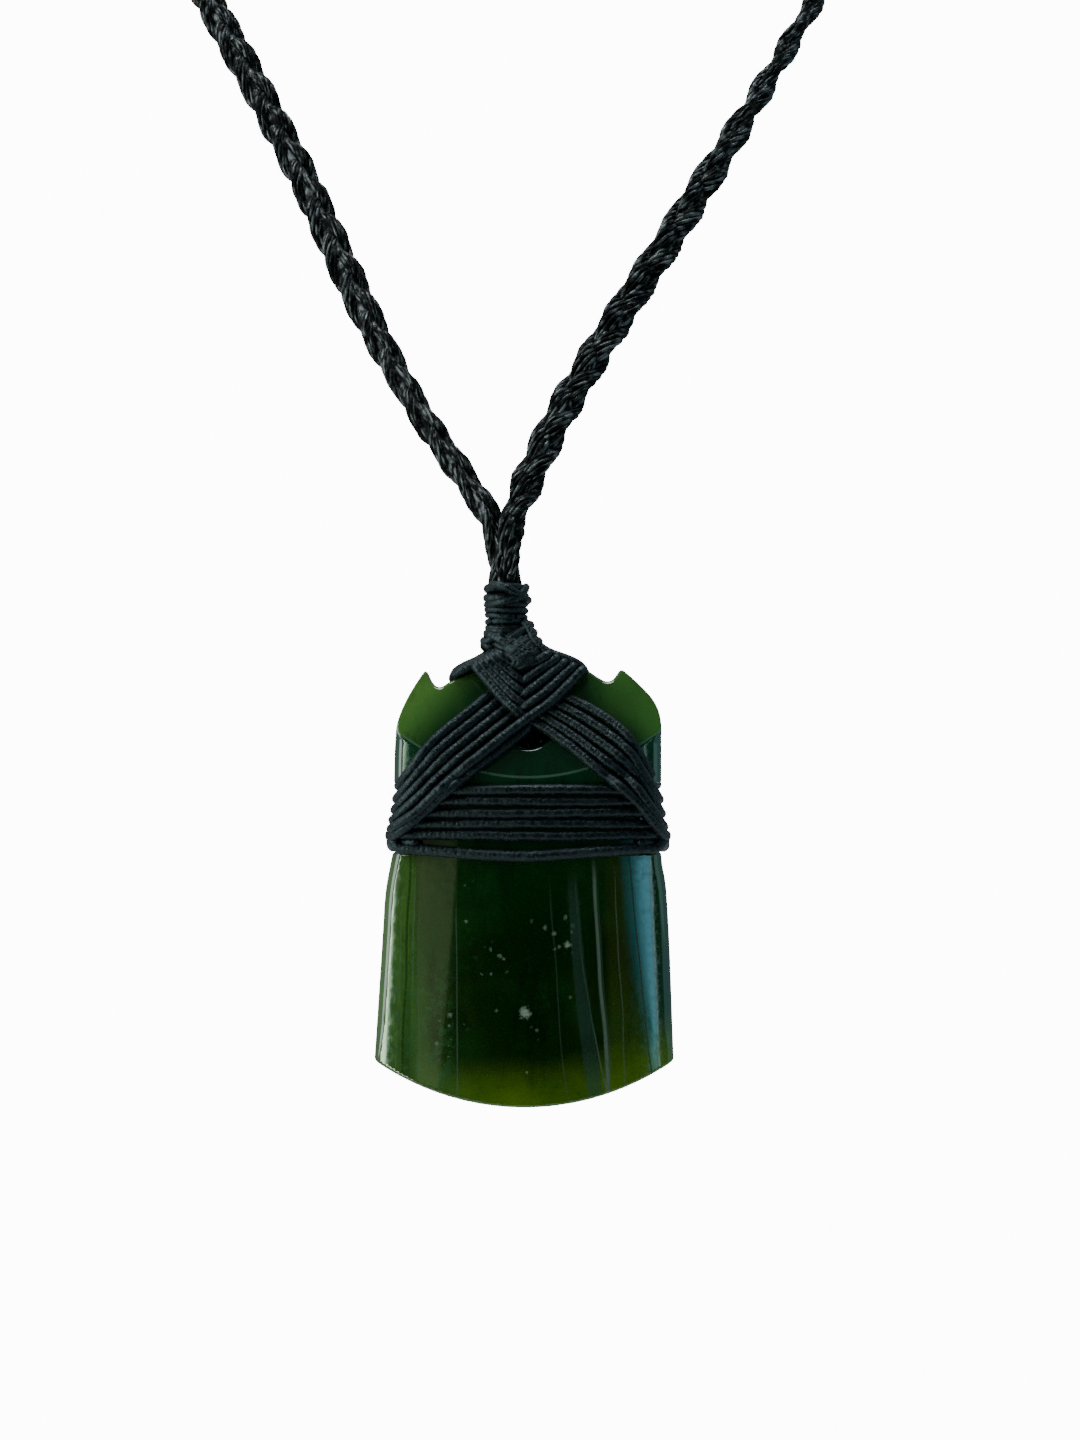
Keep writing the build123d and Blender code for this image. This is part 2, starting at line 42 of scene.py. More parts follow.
# Places in millimetres. The stone's places are across, back and up from the centre of its hole.
TILT = math.radians(33.0)
LOOP_UP = np.array([0.0, math.sin(TILT), math.cos(TILT)])
LOOP_FRONT = np.array([0.0, -math.cos(TILT), math.sin(TILT)])
LOOP_HEIGHT = 255.5
FORK = LOOP_UP * -LOOP_HEIGHT
NECK = np.array([-2.2, 2.4, 0.0])
HOLE = np.array([2.2, FORK[1] - 2.4, FORK[2] - 19.3])

# The stone
HALF_STONE = 4.5       # half its thickness
FRONT_RADIUS = 40.0    # the front bulges round an upright axis
FRONT_AXIS = 35.5      # how far back that axis lies
FACET_ANGLE = math.radians(26.0)
FACET_SLOPE = math.tan(FACET_ANGLE)
FACET_FOOT = -5.85     # where the top facet starts at the middle of the front
EDGE_RADIUS = 27.62    # the cutting edge's arc
EDGE_ACROSS = -0.4
EDGE_UP = -10.88
NOTCH_TOP = -6.5
NOTCH_HALF = 11.3      # half the width left between the side notches, at their top
NOTCH_LEAN = 0.118     # how fast that grows downwards


def smooth(low, high, value):
    """Nothing below low, one above high, and a soft step between them."""
    share = np.clip((value - low) / (high - low), 0.0, 1.0)
    return share * share * (3.0 - 2.0 * share)


def cubic(t, start, end, leaving, arriving):
    """A cubic from start to end with the given slopes at both."""
    square, cube = t ** 2, t ** 3
    return ((2 * cube - 3 * square + 1) * start + (cube - 2 * square + t) * leaving
            + (3 * square - 2 * cube) * end + (cube - square) * arriving)


def hermite(points, value):
    """A smooth curve through points of (value, result), going on straight beyond its ends."""
    xs, ys = np.array(points).T
    slopes = np.gradient(ys, xs)
    at = np.clip(np.searchsorted(xs, value) - 1, 0, len(xs) - 2)
    run = xs[at + 1] - xs[at]
    t = (value - xs[at]) / run
    leaving, arriving = run * slopes[at], run * slopes[at + 1]
    inside = cubic(np.clip(t, 0.0, 1.0), ys[at], ys[at + 1], leaving, arriving)
    return inside + np.where(t > 1, (t - 1) * arriving, np.where(t < 0, t * leaving, 0))


def unit(vectors):
    return vectors / np.linalg.norm(vectors, axis=-1, keepdims=True)


def add_object(name, data):
    item = bpy.data.objects.new(name, data)
    bpy.context.scene.collection.objects.link(item)
    return item


# Camera, floor and light
def make_camera():
    data = bpy.data.cameras.new("camera")
    data.sensor_fit = "VERTICAL"
    data.sensor_height = 36.0
    data.sensor_width = 36.0
    data.lens = 87.5
    data.clip_start = 0.01
    data.clip_end = 20.0
    camera = add_object("camera", data)
    camera.location = (0.0034, (HOLE[1] - 350.0) * MM, (HOLE[2] - 0.2) * MM)
    camera.rotation_euler = (math.radians(90.0), 0.0, 0.0)
    bpy.context.scene.camera = camera


def area_light(name, place, aim, size, power, color, mirrored=True):
    data = bpy.data.lights.new(name, "AREA")
    data.shape = "RECTANGLE"
    data.size, data.size_y = size
    data.energy = power
    data.color = color
    light = add_object(name, data)
    light.location = place
    back = unit(np.array(place) - np.array(aim))
    right = unit(np.cross([0.0, 0.0, 1.0], back))
    turn = np.stack([right, np.cross(back, right), back], 1)
    light.rotation_euler = Matrix(turn.tolist()).to_euler()
    light.visible_glossy = mirrored


class Nodes:
    """Short calls for building a node tree, and the colour that its layers add up to."""

    def __init__(self, tree):
        self.tree = tree
        self.color = None
        tree.nodes.clear()

    def add(self, kind, sockets=None, **values):
        """A node with its settings and with what goes into its sockets: values or other nodes' outputs."""
        node = self.tree.nodes.new("ShaderNode" + kind)
        for key, value in values.items():
            setattr(node, key, value)
        for key, value in (sockets or {}).items():
            self.put(node.inputs[key], value)
        return node

    def link(self, source, target):
        self.tree.links.new(source, target)

    def put(self, socket, value):
        if isinstance(value, (int, float)):
            socket.default_value = value
        elif isinstance(value, tuple):
            socket.default_value = value if len(value) == len(socket.default_value) else value + (1.0,)
        else:
            self.link(value, socket)

    def math(self, operation, first, second=0.0):
        return self.add("Math", {0: first, 1: second}, operation=operation).outputs[0]

    def times(self, result, *others):
        for other in others:
            result = self.math("MULTIPLY", result, other)
        return result

    def plus(self, result, *others):
        for other in others:
            result = self.math("ADD", result, other)
        return result

    def minus(self, first, second):
        return self.math("SUBTRACT", first, second)

    def step(self, value, low, high, start=0.0, end=1.0):
        """A soft step from start at low to end at high. Low may be the higher of the two."""
        sockets = {0: value, 1: low, 2: high, 3: start, 4: end}
        return self.add("MapRange", sockets, interpolation_type="SMOOTHSTEP").outputs[0]

    def band(self, value, start, full, fade, end):
        """One between full and fade, and nothing below start or above end."""
        return self.times(self.step(value, start, full), self.step(value, end, fade))

    def near(self, value, far, close):
        """One where the value is within close of nothing, and nothing beyond far on both sides."""
        return self.step(self.math("ABSOLUTE", value), far, close)

    def mix(self, share, first, second):
        return self.add("Mix", {0: share, 6: first, 7: second}, data_type="RGBA").outputs[2]

    def lay(self, color, *shares):
        """Lay a colour over the one so far, as strongly as all the shares multiplied."""
        self.color = self.mix(self.times(*shares), self.color, color)

    def split(self, vector):
        return self.add("SeparateXYZ", {0: vector}).outputs

    def scaled(self, vector, scale, shift=(0.0, 0.0, 0.0)):
        sockets = {"Vector": vector, "Location": shift, "Scale": scale}
        return self.add("Mapping", sockets).outputs[0]

    def distance(self, vector, middle):
        node = self.add("VectorMath", {0: vector, 1: middle}, operation="DISTANCE")
        return node.outputs["Value"]

    def bump(self, height, strength, distance):
        sockets = {"Height": height, "Strength": strength, "Distance": distance}
        return self.add("Bump", sockets).outputs[0]

    def noise(self, vector, scale, detail=2.0, rough=0.5):
        sockets = {"Vector": vector, "Scale": scale, "Detail": detail, "Roughness": rough}
        return self.add("TexNoise", sockets).outputs[0]

    def ramp(self, value, stops):
        node = self.add("ValToRGB", {0: value})
        elements = node.color_ramp.elements
        while len(elements) < len(stops):
            elements.new(0.5)
        for element, (place, color) in zip(elements, stops):
            element.position = place
            element.color = color + (1.0,)
        return node.outputs[0]


def make_world():
    """Soft studio surroundings: dark in front, bright at both sides, so the polished front shows bands."""
    world = bpy.data.worlds.new("studio")
    bpy.context.scene.world = world
    world.use_nodes = True
    n = Nodes(world.node_tree)
    coord = n.add("TexCoord")
    x, y, z = n.split(coord.outputs["Generated"])
    azimuth = n.times(n.math("ARCTAN2", x, n.times(y, -1.0)), 180.0 / math.pi)
    height = n.times(n.math("ARCSINE", z), 180.0 / math.pi)
    below = n.step(height, -2.0, -2.25)
    above = n.step(height, -30.0, -12.0)
    # The windows' sides lean, so their bands change width towards the foot of the blade
    fall = n.times(n.plus(height, 2.3), -1.0)
    fall = n.math("MINIMUM", n.math("MAXIMUM", fall, -2.0), 4.5)
    bend = n.math("MAXIMUM", fall, 0.0)
    rise = n.times(n.math("MINIMUM", fall, 0.0), 1.75)
    # On the right a blue window with a pale line along its far side
    near = n.plus(26.5, n.times(bend, 1.2), n.times(bend, bend, 0.56))
    far = n.plus(36.9, n.times(fall, 0.92))
    blue = n.times(n.band(azimuth, near, n.plus(near, 3.6), n.minus(far, 0.3), far), below, above)
    line = n.band(azimuth, n.minus(far, 0.15), n.plus(far, 0.15), n.plus(far, 0.35), n.plus(far, 0.65))
    # On the left a veil, then a narrow bright window with a cool line along its near side
    edge = n.plus(-21.3, n.times(n.math("MINIMUM", n.plus(height, 2.4), 0.0), 1.6))
    veil = n.times(n.band(azimuth, -34.8, -33.2, n.minus(edge, 0.5), edge), below)
    left = n.minus(-40.5, n.plus(n.times(bend, 0.95), rise))
    left_end = n.minus(left, n.plus(4.4, rise))
    pale = n.band(azimuth, n.minus(left_end, 1.6), left_end, n.minus(left, 0.6), left)
    cool = n.band(azimuth, n.minus(left, 0.5), n.minus(left, 0.1), n.plus(left, 0.2), n.plus(left, 0.6))
    n.color = n.ramp(n.math("DIVIDE", n.plus(azimuth, 180.0), 360.0), [
        (0.0, (0.20, 0.23, 0.24)), (0.18, (0.42, 0.46, 0.48)), (0.27, (0.75, 0.95, 0.85)),
        (0.35, (0.75, 0.95, 0.85)), (0.372, (0.50, 0.62, 0.48)), (0.383, (0.06, 0.09, 0.05)),
        (0.40, (0.04, 0.05, 0.03)), (0.50, (0.004, 0.004, 0.004)), (0.60, (0.02, 0.03, 0.02)),
        (0.63, (0.06, 0.17, 0.14)), (0.65, (0.40, 0.66, 0.64)), (0.71, (0.34, 0.60, 0.64)),
        (0.79, (0.24, 0.48, 0.56)), (0.86, (0.22, 0.28, 0.30)), (1.0, (0.20, 0.23, 0.24)),
    ])
    n.lay((0.45, 0.56, 0.31), veil)
    share = n.step(azimuth, n.plus(near, 3.5), n.minus(far, 1.0))
    n.lay(n.mix(share, (0.05, 0.65, 0.85), (0.95, 3.1, 4.1)), blue)
    n.lay((2.6, 4.3, 4.3), line, above, 0.85)
    n.lay((15.5, 21.0, 14.0), pale, n.step(height, -0.8, -2.2, 0.60, 1.0))
    n.lay((1.6, 2.7, 2.6), cool, 0.7)
    upper = n.times(n.band(azimuth, 42.0, 46.0, 75.0, 95.0), n.band(height, -2.4, -1.9, 5.0, 12.0))
    n.lay((0.65, 1.25, 1.15), upper, 0.8)
    # Overhead: dim in front, so the top facet stays deep, brighter behind
    over = n.mix(n.step(n.math("ABSOLUTE", azimuth), 30.0, 90.0), (0.05, 0.07, 0.06), (0.45, 0.50, 0.52))
    n.lay(over, n.step(height, 28.0, 42.0))
    n.lay((0.22, 0.24, 0.22), n.step(height, -15.0, -35.0))
    path = n.add("LightPath")
    # Diffuse light also comes softly from the front
    n.lay((0.28, 0.38, 0.44), path.outputs["Is Diffuse Ray"], 0.35)
    light = n.add("Background", {0: n.color})
    plain = n.add("Background", {0: (1.0, 1.0, 1.0), 1: 13.0})
    sockets = {0: path.outputs["Is Camera Ray"], 1: light.outputs[0], 2: plain.outputs[0]}
    both = n.add("MixShader", sockets)
    n.add("OutputWorld", {0: both.outputs[0]})


def new_material(name):
    """A material with its node calls and its shader."""
    material = bpy.data.materials.new(name)
    material.use_nodes = True
    n = Nodes(material.node_tree)
    shader = n.add("BsdfPrincipled")
    n.add("OutputMaterial", {0: shader.outputs[0]})
    return material, n, shader


def make_floor():
    rings = 64
    points = [(0.0, 0.0, -0.62)]
    for step in range(rings):
        turn = math.tau * step / rings
        points.append((0.8 * math.cos(turn), 0.8 * math.sin(turn), -0.62))
    faces = [(0, 1 + step, 1 + (step + 1) % rings) for step in range(rings)]
    mesh = bpy.data.meshes.new("floor")
    mesh.from_pydata(points, [], faces)
    floor = add_object("floor", mesh)
    material, _, shader = new_material("floor")
    shader.inputs["Base Color"].default_value = (0.82, 0.82, 0.81, 1.0)
    shader.inputs["Roughness"].default_value = 0.8
    mesh.materials.append(material)


make_camera()
make_world()
make_floor()
area_light("key", (-0.80, -0.45, 0.10), (0.0, -0.14, -0.20), (0.45, 0.9), 7.0, (0.88, 1.0, 1.0))
area_light("fill", (0.70, -0.42, -0.02), (0.0, -0.14, -0.20), (0.25, 0.8), 1.6, (0.35, 0.72, 1.0), False)
area_light("top", (-0.05, -0.15, 0.75), (0.0, -0.12, -0.20), (0.5, 0.4), 7.0, (0.88, 1.0, 1.0))
area_light("rim", (0.15, 0.60, 0.30), (0.0, -0.14, -0.20), (0.8, 0.5), 4.0, (1.0, 1.0, 1.0), False)


# Materials
def stone_material():
    """Polished greenstone, dark in the middle and lighter where light comes through it."""
    material, n, shader = new_material("greenstone")
    coord = n.add("TexCoord")
    place = n.scaled(coord.outputs["Object"], (1000.0, 1000.0, 1000.0), tuple(-HOLE))
    a, _, u = n.split(place)
    stretched = n.scaled(place, (1.0, 1.0, 0.22))
    grain = n.noise(stretched, 0.35, 4.0, 0.6)
    wave = n.times(n.minus(n.noise(stretched, 0.40, 1.5, 0.40), 0.5), 0.8)
    cloud = n.noise(place, 0.16, 3.0, 0.55)
    mottle = n.noise(place, 0.9, 4.0, 0.75)
    fine = n.noise(place, 1.6, 3.0, 0.6)
    speck = n.noise(place, 3.2, 3.0, 0.7)
    away = n.math("ABSOLUTE", a)
    waved = n.plus(a, wave)
    down = n.plus(u, 14.0)
    low = n.step(u, -12.0, -15.0)

    # Deep green, then teal under the lashing
    n.color = n.ramp(n.math("DIVIDE", n.plus(u, 38.5), 44.0), [
        (0.00, (0.0030, 0.0120, 0.0006)),
        (0.12, (0.0014, 0.0105, 0.0006)),
        (0.38, (0.0005, 0.0090, 0.0006)),
        (0.54, (0.0008, 0.0155, 0.0016)),
        (0.72, (0.0010, 0.0210, 0.0090)),
        (0.80, (0.0014, 0.0270, 0.0125)),
        (1.00, (0.0030, 0.0260, 0.0060)),
    ])
    # The left third is a lighter, yellower green, with a browner top
    left_color = n.mix(n.step(u, -30.0, -14.0), (0.020, 0.058, 0.009), (0.014, 0.030, 0.006))
    n.lay(left_color, n.step(a, -6.8, -11.5), low, 0.8)
    n.lay((0.038, 0.088, 0.014), n.step(a, -10.8, -11.5), low, 0.85)
    # On the right a brown band that turns olive below
    olive_end = n.step(u, -20.0, -30.0, 12.4, 13.8)
    olive = n.band(a, 7.4, 8.6, n.minus(olive_end, 1.8), olive_end)
    olive_color = n.mix(n.step(u, -33.0, -22.0), (0.021, 0.043, 0.0040), (0.0150, 0.0210, 0.0015))
    n.lay(olive_color, olive, low, 0.85)
    n.lay((0.003, 0.028, 0.016), n.step(a, 12.6, 13.4), 0.8)
    # An olive glow along the cutting edge, where the blade is thin
    edge_a = n.minus(a, EDGE_ACROSS)
    edge_u = n.minus(u, EDGE_UP)
    outward = n.math("SQRT", n.plus(n.times(edge_a, edge_a), n.times(edge_u, edge_u)))
    inward = n.plus(n.minus(EDGE_RADIUS, outward), n.times(n.minus(cloud, 0.5), 3.0))
    glow = n.times(n.step(inward, 5.2, 0.2), n.step(u, -20.0, -28.0))
    glow_color = n.mix(n.step(a, -9.0, -3.0), (0.030, 0.064, 0.010), (0.060, 0.100, 0.0040))
    n.lay(glow_color, glow, 0.95)
    # The bevelled facet and the horns let light through, painted as lighter green; towards the crossing
    # cords the facet gets painted shade
    plane = n.minus(n.times(n.minus(u, FACET_FOOT), FACET_SLOPE), HALF_STONE)
    front = n.minus(FRONT_AXIS, n.math("SQRT", n.minus(FRONT_RADIUS ** 2, n.times(a, a))))
    over = n.minus(plane, front)
    # Painted shade from the cords: dark close to their crossing, fading out towards the horns
    clear_of_cord_shade = n.step(n.plus(away, n.times(u, 0.9)), 7.0, 13.5)
    right = n.step(a, -5.0, 5.0)
    horn = n.mix(right, (0.056, 0.126, 0.022), (0.029, 0.085, 0.015))
    sunny = n.mix(right, (0.074, 0.126, 0.020), (0.040, 0.090, 0.016))
    lit = n.mix(clear_of_cord_shade, (0.0015, 0.022, 0.0045), horn)
    lit = n.mix(n.times(n.step(cloud, 0.44, 0.62), clear_of_cord_shade, 0.25), lit, sunny)
    inner = n.times(n.step(u, 0.5, -3.0), n.step(away, 10.0, 5.0))
    lit = n.mix(inner, lit, (0.0006, 0.0150, 0.0060))
    n.lay(lit, n.step(over, -0.04, 0.04))
    # Cloudy and streaky variation
    n.lay((0.006, 0.034, 0.005), n.step(cloud, 0.42, 0.72), 0.33)
    middle = n.near(n.plus(a, 0.5), 7.0, 2.5)
    streak = n.times(n.step(grain, 0.50, 0.70), n.minus(1.0, middle))
    n.lay((0.026, 0.046, 0.008), streak, 0.27)
    n.lay((0.0006, 0.0030, 0.0005), n.step(grain, 0.47, 0.30, 0.0, 0.45), n.minus(1.0, glow))
    n.lay((0.02, 0.07, 0.02), n.step(speck, 0.60, 0.78, 0.0, 0.175))

    # Fine upright lines: place across at the lashing, lean, curve, width, strength, low end, high end
    for start, lean, curve, width, strength, foot, head in (
        (6.47, -0.060, 0.0, 0.13, 0.95, -38.4, -13.2),
        (6.80, -0.060, 0.0, 0.035, 0.25, -38.4, -15.0),
        (4.80, -0.006, 0.0052, 0.055, 0.60, -38.4, -15.0),
        (2.10, -0.030, 0.0022, 0.050, 0.20, -38.0, -15.0),
        (8.50, -0.045, 0.0, 0.045, 0.45, -38.0, -14.0),
        (-7.00, 0.003, 0.0, 0.045, 0.42, -38.4, -17.0),
        (-11.25, 0.020, 0.0, 0.05, 0.40, -38.4, -13.6),
        (-10.75, 0.010, 0.0, 0.03, 0.16, -37.0, -16.0),
        (-12.30, 0.040, 0.0, 0.04, 0.22, -38.0, -18.0),
    ):
        bow = n.times(down, n.plus(n.times(down, curve), lean))
        line = n.near(n.minus(n.minus(waved, start), bow), width * 2.2, width * 0.4)
        reach = n.band(u, foot, foot + 1.5, head - 4.0, head)
        n.lay((0.075, 0.100, 0.075), line, reach, strength)
    # A dark crack through the blue window
    crack = n.minus(waved, n.plus(10.05, n.times(down, -0.105)))
    crack = n.times(n.near(crack, 0.10, 0.03), low)
    n.lay((0.0005, 0.0040, 0.0020), crack, 0.8)
    # A dark line and a broader shade beside the pale lines on the left
    dark_line = n.plus(n.minus(waved, n.times(down, 0.035)), 11.75)
    n.lay((0.001, 0.006, 0.001), n.near(dark_line, 0.16, 0.04), low, 0.6)
    shade = n.near(n.plus(a, 12.0), 0.7, 0.3)
    n.lay((0.006, 0.030, 0.004), shade, n.step(u, -22.0, -30.0), 0.5)
    # A smoky streak with crisp sides, left of the strongest line
    smoke_line = n.plus(4.38, n.times(down, n.plus(n.times(down, 0.0026), -0.037)))
    smoke_half = n.step(u, -16.0, -36.0, 0.50, 0.72)
    smoke = n.minus(n.plus(a, n.times(wave, 0.5)), smoke_line)
    smoke = n.near(smoke, n.plus(smoke_half, 0.10), n.minus(smoke_half, 0.10))
    smoke_color = n.mix(n.step(u, -33.0, -37.0), (0.014, 0.030, 0.020), (0.032, 0.064, 0.022))
    n.lay(smoke_color, smoke, n.step(cloud, 0.30, 0.65, 0.55, 0.9), n.step(u, -14.5, -18.0))
    # Mottled lower left, and soft green clouds in the middle
    mottled = n.times(n.step(a, -6.5, -8.5), n.step(u, -22.0, -28.0), n.step(mottle, 0.46, 0.64))
    n.lay((0.020, 0.066, 0.022), mottled, 0.6)
    haze = n.times(n.step(mottle, 0.52, 0.74), low, n.step(cloud, 0.45, 0.60))
    n.lay((0.004, 0.034, 0.005), haze, 0.5)

    # Pale flecks of uneven size in a few clusters
    uneven = n.add("TexNoise", {"Vector": place, "Scale": 2.0})
    sockets = {0: uneven.outputs[1], 1: (0.5, 0.5, 0.5), 2: place}
    shift = n.add("VectorMath", sockets, operation="MULTIPLY_ADD")
    cells = n.add("TexVoronoi", {"Vector": shift.outputs[0], "Scale": 1.25})
    luck = n.split(cells.outputs["Color"])
    grown = n.times(luck[0], 0.42)
    dots = n.step(cells.outputs["Distance"], grown, n.times(grown, 0.6))
    tone = n.mix(luck[1], (0.010, 0.040, 0.010), (0.075, 0.115, 0.080))
    for middle, reach in (
        ((3.3, -4.4, -21.8), 2.1), ((-3.0, -4.4, -28.8), 1.3), ((-7.6, -3.7, -29.6), 2.6),
        ((0.8, -4.4, -31.0), 1.0), ((8.8, -3.5, -27.7), 0.9), ((-6.3, -3.9, -20.0), 1.0),
        ((-3.6, -4.3, -24.2), 2.4), ((-11.2, -3.0, -14.7), 0.8), ((4.6, -4.1, -27.0), 1.0),
        ((-5.6, -4.0, -16.6), 1.3), ((4.4, -4.2, -19.2), 1.5), ((-8.6, -3.5, -33.0), 2.2),
        ((1.2, -4.4, -20.2), 1.2),
    ):
        cluster = n.step(n.distance(place, middle), reach, reach * 0.4)
        n.lay(tone, dots, cluster, 0.85)
    # Single spots with a paler middle: place, size and strength
    for middle, size, strength in (
        ((-0.3, -4.5, -29.1), 1.0, 0.75), ((3.9, -4.3, -22.4), 0.62, 0.6), ((2.6, -4.4, -21.3), 0.42, 0.3),
        ((1.7, -4.4, -20.7), 0.42, 0.35), ((3.1, -4.4, -22.6), 0.36, 0.25), ((-7.7, -3.7, -29.4), 0.5, 0.3),
        ((-3.1, -4.3, -28.9), 0.36, 0.2), ((-2.4, -4.4, -23.8), 0.34, 0.25),
        ((-6.1, -4.0, -20.1), 0.32, 0.35),
        ((-0.1, -4.5, -35.0), 0.26, 0.35), ((0.9, -4.5, -30.8), 0.34, 0.2), ((4.2, -4.2, -27.6), 0.36, 0.2),
    ):
        spread = n.plus(n.distance(place, middle), n.times(n.minus(speck, 0.5), 1.2 * size))
        n.lay((0.11, 0.14, 0.10), n.step(spread, 0.72 * size, 0.38 * size, 0.0, strength))
        n.lay((0.20, 0.23, 0.18), n.step(spread, 0.45 * size, 0.25 * size, 0.0, strength))
    # A painted pale highlight line along the edge where the facet meets the front
    n.lay((0.075, 0.120, 0.080), n.near(over, 0.085, 0.03), n.step(u, 3.0, 0.5), 0.5)

    n.link(n.color, shader.inputs["Base Color"])
    # The crack is rough, so it stays dark under the window's reflection
    polish = n.step(fine, 0.3, 0.8, 0.03, 0.09)
    n.link(n.math("MAXIMUM", polish, n.times(crack, 0.6)), shader.inputs["Roughness"])
    n.link(n.bump(n.noise(stretched, 0.5, 3.0), 0.05, 0.0001), shader.inputs["Normal"])
    shader.inputs["IOR"].default_value = 1.62
    return material


def shaded(color, amount):
    return tuple(part * amount for part in color)


def cord_material(name, color, fleck_and_highlight, tint, braid, roughness, dashes=0.0):
    """Waxed cord. The mesh's UV map holds millimetres along it and turns round it."""
    material, n, shader = new_material(name)
    coord = n.add("TexCoord")
    along, around, _ = n.split(coord.outputs["UV"])
    run = n.times(along, math.tau / braid)
    turn = n.times(around, math.tau * 3)
    weave = n.times(n.math("SINE", n.plus(run, turn)), n.math("SINE", n.minus(run, turn)))
    place = n.scaled(coord.outputs["Object"], (1000.0, 1000.0, 1000.0))
    wax_and_sheen = n.noise(place, 1.3, 3.0, 0.65)
    lint_and_glints = n.noise(place, 5.5, 2.0, 0.6)
    fleck = n.noise(place, 2.6, 2.0, 0.55)
    pattern = n.plus(n.times(weave, 0.15), n.times(n.minus(fleck, 0.5), 5.0))
    n.color = n.mix(n.step(pattern, -0.7, 0.6), shaded(color, 0.30), color)
    # Painted highlights in patches on the wax, and pale flecks that are partly paler fibres and partly
    # painted highlights
    n.lay(fleck_and_highlight, n.step(wax_and_sheen, 0.50, 0.72, 0.0, 0.5))
    n.lay(fleck_and_highlight, n.step(fleck, 0.52, 0.66, 0.0, 0.9))
    # Pale lint specks, which also serve as painted pinpoint glints
    n.lay((0.08, 0.10, 0.10), n.step(lint_and_glints, 0.70, 0.77, 0.0, 0.6))
    specular = shader.inputs["Specular IOR Level"]
    specular.default_value = 0.36
    if dashes:
        # Short painted highlight dashes along each thread, which are also glossier, with painted shade
        # between them
        dash = n.noise(n.scaled(coord.outputs["UV"], (0.75, 1.5, 1.0)), 1.0, 1.0, 0.5)
        n.lay(shaded(fleck_and_highlight, 2.4), n.step(dash, 0.53, 0.66, 0.0, dashes))
        n.lay(shaded(color, 0.25), n.step(dash, 0.48, 0.36, 0.0, dashes))
        n.link(n.step(dash, 0.45, 0.70, 0.36 * (1.0 - dashes), 0.36 + 0.9 * dashes), specular)
    n.link(n.color, shader.inputs["Base Color"])
    n.link(n.step(wax_and_sheen, 0.3, 0.8, roughness - 0.08, roughness + 0.15), shader.inputs["Roughness"])
    height = n.plus(n.times(weave, 0.14), n.times(fleck, 2.0), n.times(lint_and_glints, 0.5))
    n.link(n.bump(height, 0.8, 0.00008), shader.inputs["Normal"])
    shader.inputs["Specular Tint"].default_value = tint + (1.0,)
    shader.inputs["Sheen Weight"].default_value = 0.015
    shader.inputs["Sheen Roughness"].default_value = 0.4
    return material


greenstone = stone_material()
waxed = cord_material(
    "waxed_cord", (0.0007, 0.0013, 0.0019), (0.0060, 0.0105, 0.0150), (0.70, 0.90, 1.0), 0.95, 0.42)
plaited = cord_material(
    "plait_cord", (0.0006, 0.0008, 0.0010), (0.0080, 0.0092, 0.0105), (0.95, 0.97, 1.0), 0.8, 0.46, 0.85)


# Meshes
class Shape:
    """Collects vertices, faces and UVs for one object."""

    def __init__(self):
        self.vertices = []
        self.quads = []
        self.uvs = []
        self.count = 0

    def grid(self, points, along):
        """Add rows of points, each row a closed ring, as quads."""
        rows, columns = points.shape[:2]
        index = np.arange(rows * columns).reshape(rows, columns) + self.count
        following = np.roll(index, -1, axis=1)
        self.count += rows * columns
        self.vertices.append(points.reshape(-1, 3))
        corners = [index[:-1], following[:-1], following[1:], index[1:]]
        self.quads.append(np.stack(corners, -1).reshape(-1, 4))
        along, around = np.meshgrid(along, np.arange(columns), indexing="ij")
        here = np.stack([along, around / columns], -1)
        beside = np.stack([along, (around + 1) / columns], -1)
        self.uvs.append(np.stack([here[:-1], beside[:-1], beside[1:], here[1:]], 2).reshape(-1, 2))

    def make(self, name, material, slot, replaced, normals=None):
        mesh = bpy.data.meshes.new(name)
        vertices = np.concatenate(self.vertices) * MM
        mesh.from_pydata(vertices, [], np.concatenate(self.quads), shade_flat=False)
        if self.uvs:
            layer = mesh.uv_layers.new(name="UVMap")
            layer.data.foreach_set("uv", np.concatenate(self.uvs).astype(np.float32).ravel())
        mesh.validate()
        if normals is not None:
            mesh.normals_split_custom_set_from_vertices(normals.tolist())
        mesh.materials.append(material)
        piece = add_object(name, mesh)
        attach(piece, "root")
        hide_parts(*replaced)


def lengths(points):
    """How far along a polyline each of its points lies."""
    return np.concatenate([[0.0], np.cumsum(np.linalg.norm(np.diff(points, axis=0), axis=1))])


def sample(points, marks, at):
    return np.stack([np.interp(at, marks, points[:, axis]) for axis in range(3)], 1)


def resample(points, spacing):
    """Points at an even spacing along a polyline."""
    marks = lengths(points)
    count = max(int(round(marks[-1] / spacing)), 2)
    return sample(points, marks, np.linspace(0.0, marks[-1], count + 1))


def catmull(points, steps=8):
    """A smooth line through points."""
    points = np.asarray(points, float)
    padded = np.concatenate([[2 * points[0] - points[1]], points, [2 * points[-1] - points[-2]]])
    out = []
    for index in range(1, len(padded) - 2):
        p0, p1, p2, p3 = padded[index - 1:index + 3]
        runs = (p1 - p0, p2 - p1, p3 - p2)
        d1, d2, d3 = (max(np.linalg.norm(run), 1e-6) ** 0.5 for run in runs)
        m1 = d2 * ((p1 - p0) / d1 - (p2 - p0) / (d1 + d2) + (p2 - p1) / d2)
        m2 = d2 * ((p2 - p1) / d2 - (p3 - p1) / (d2 + d3) + (p3 - p2) / d3)
        out.append(cubic(np.arange(steps)[:, None] / steps, p1, p2, m1, m2))
    return np.concatenate(out + [points[-1:]])


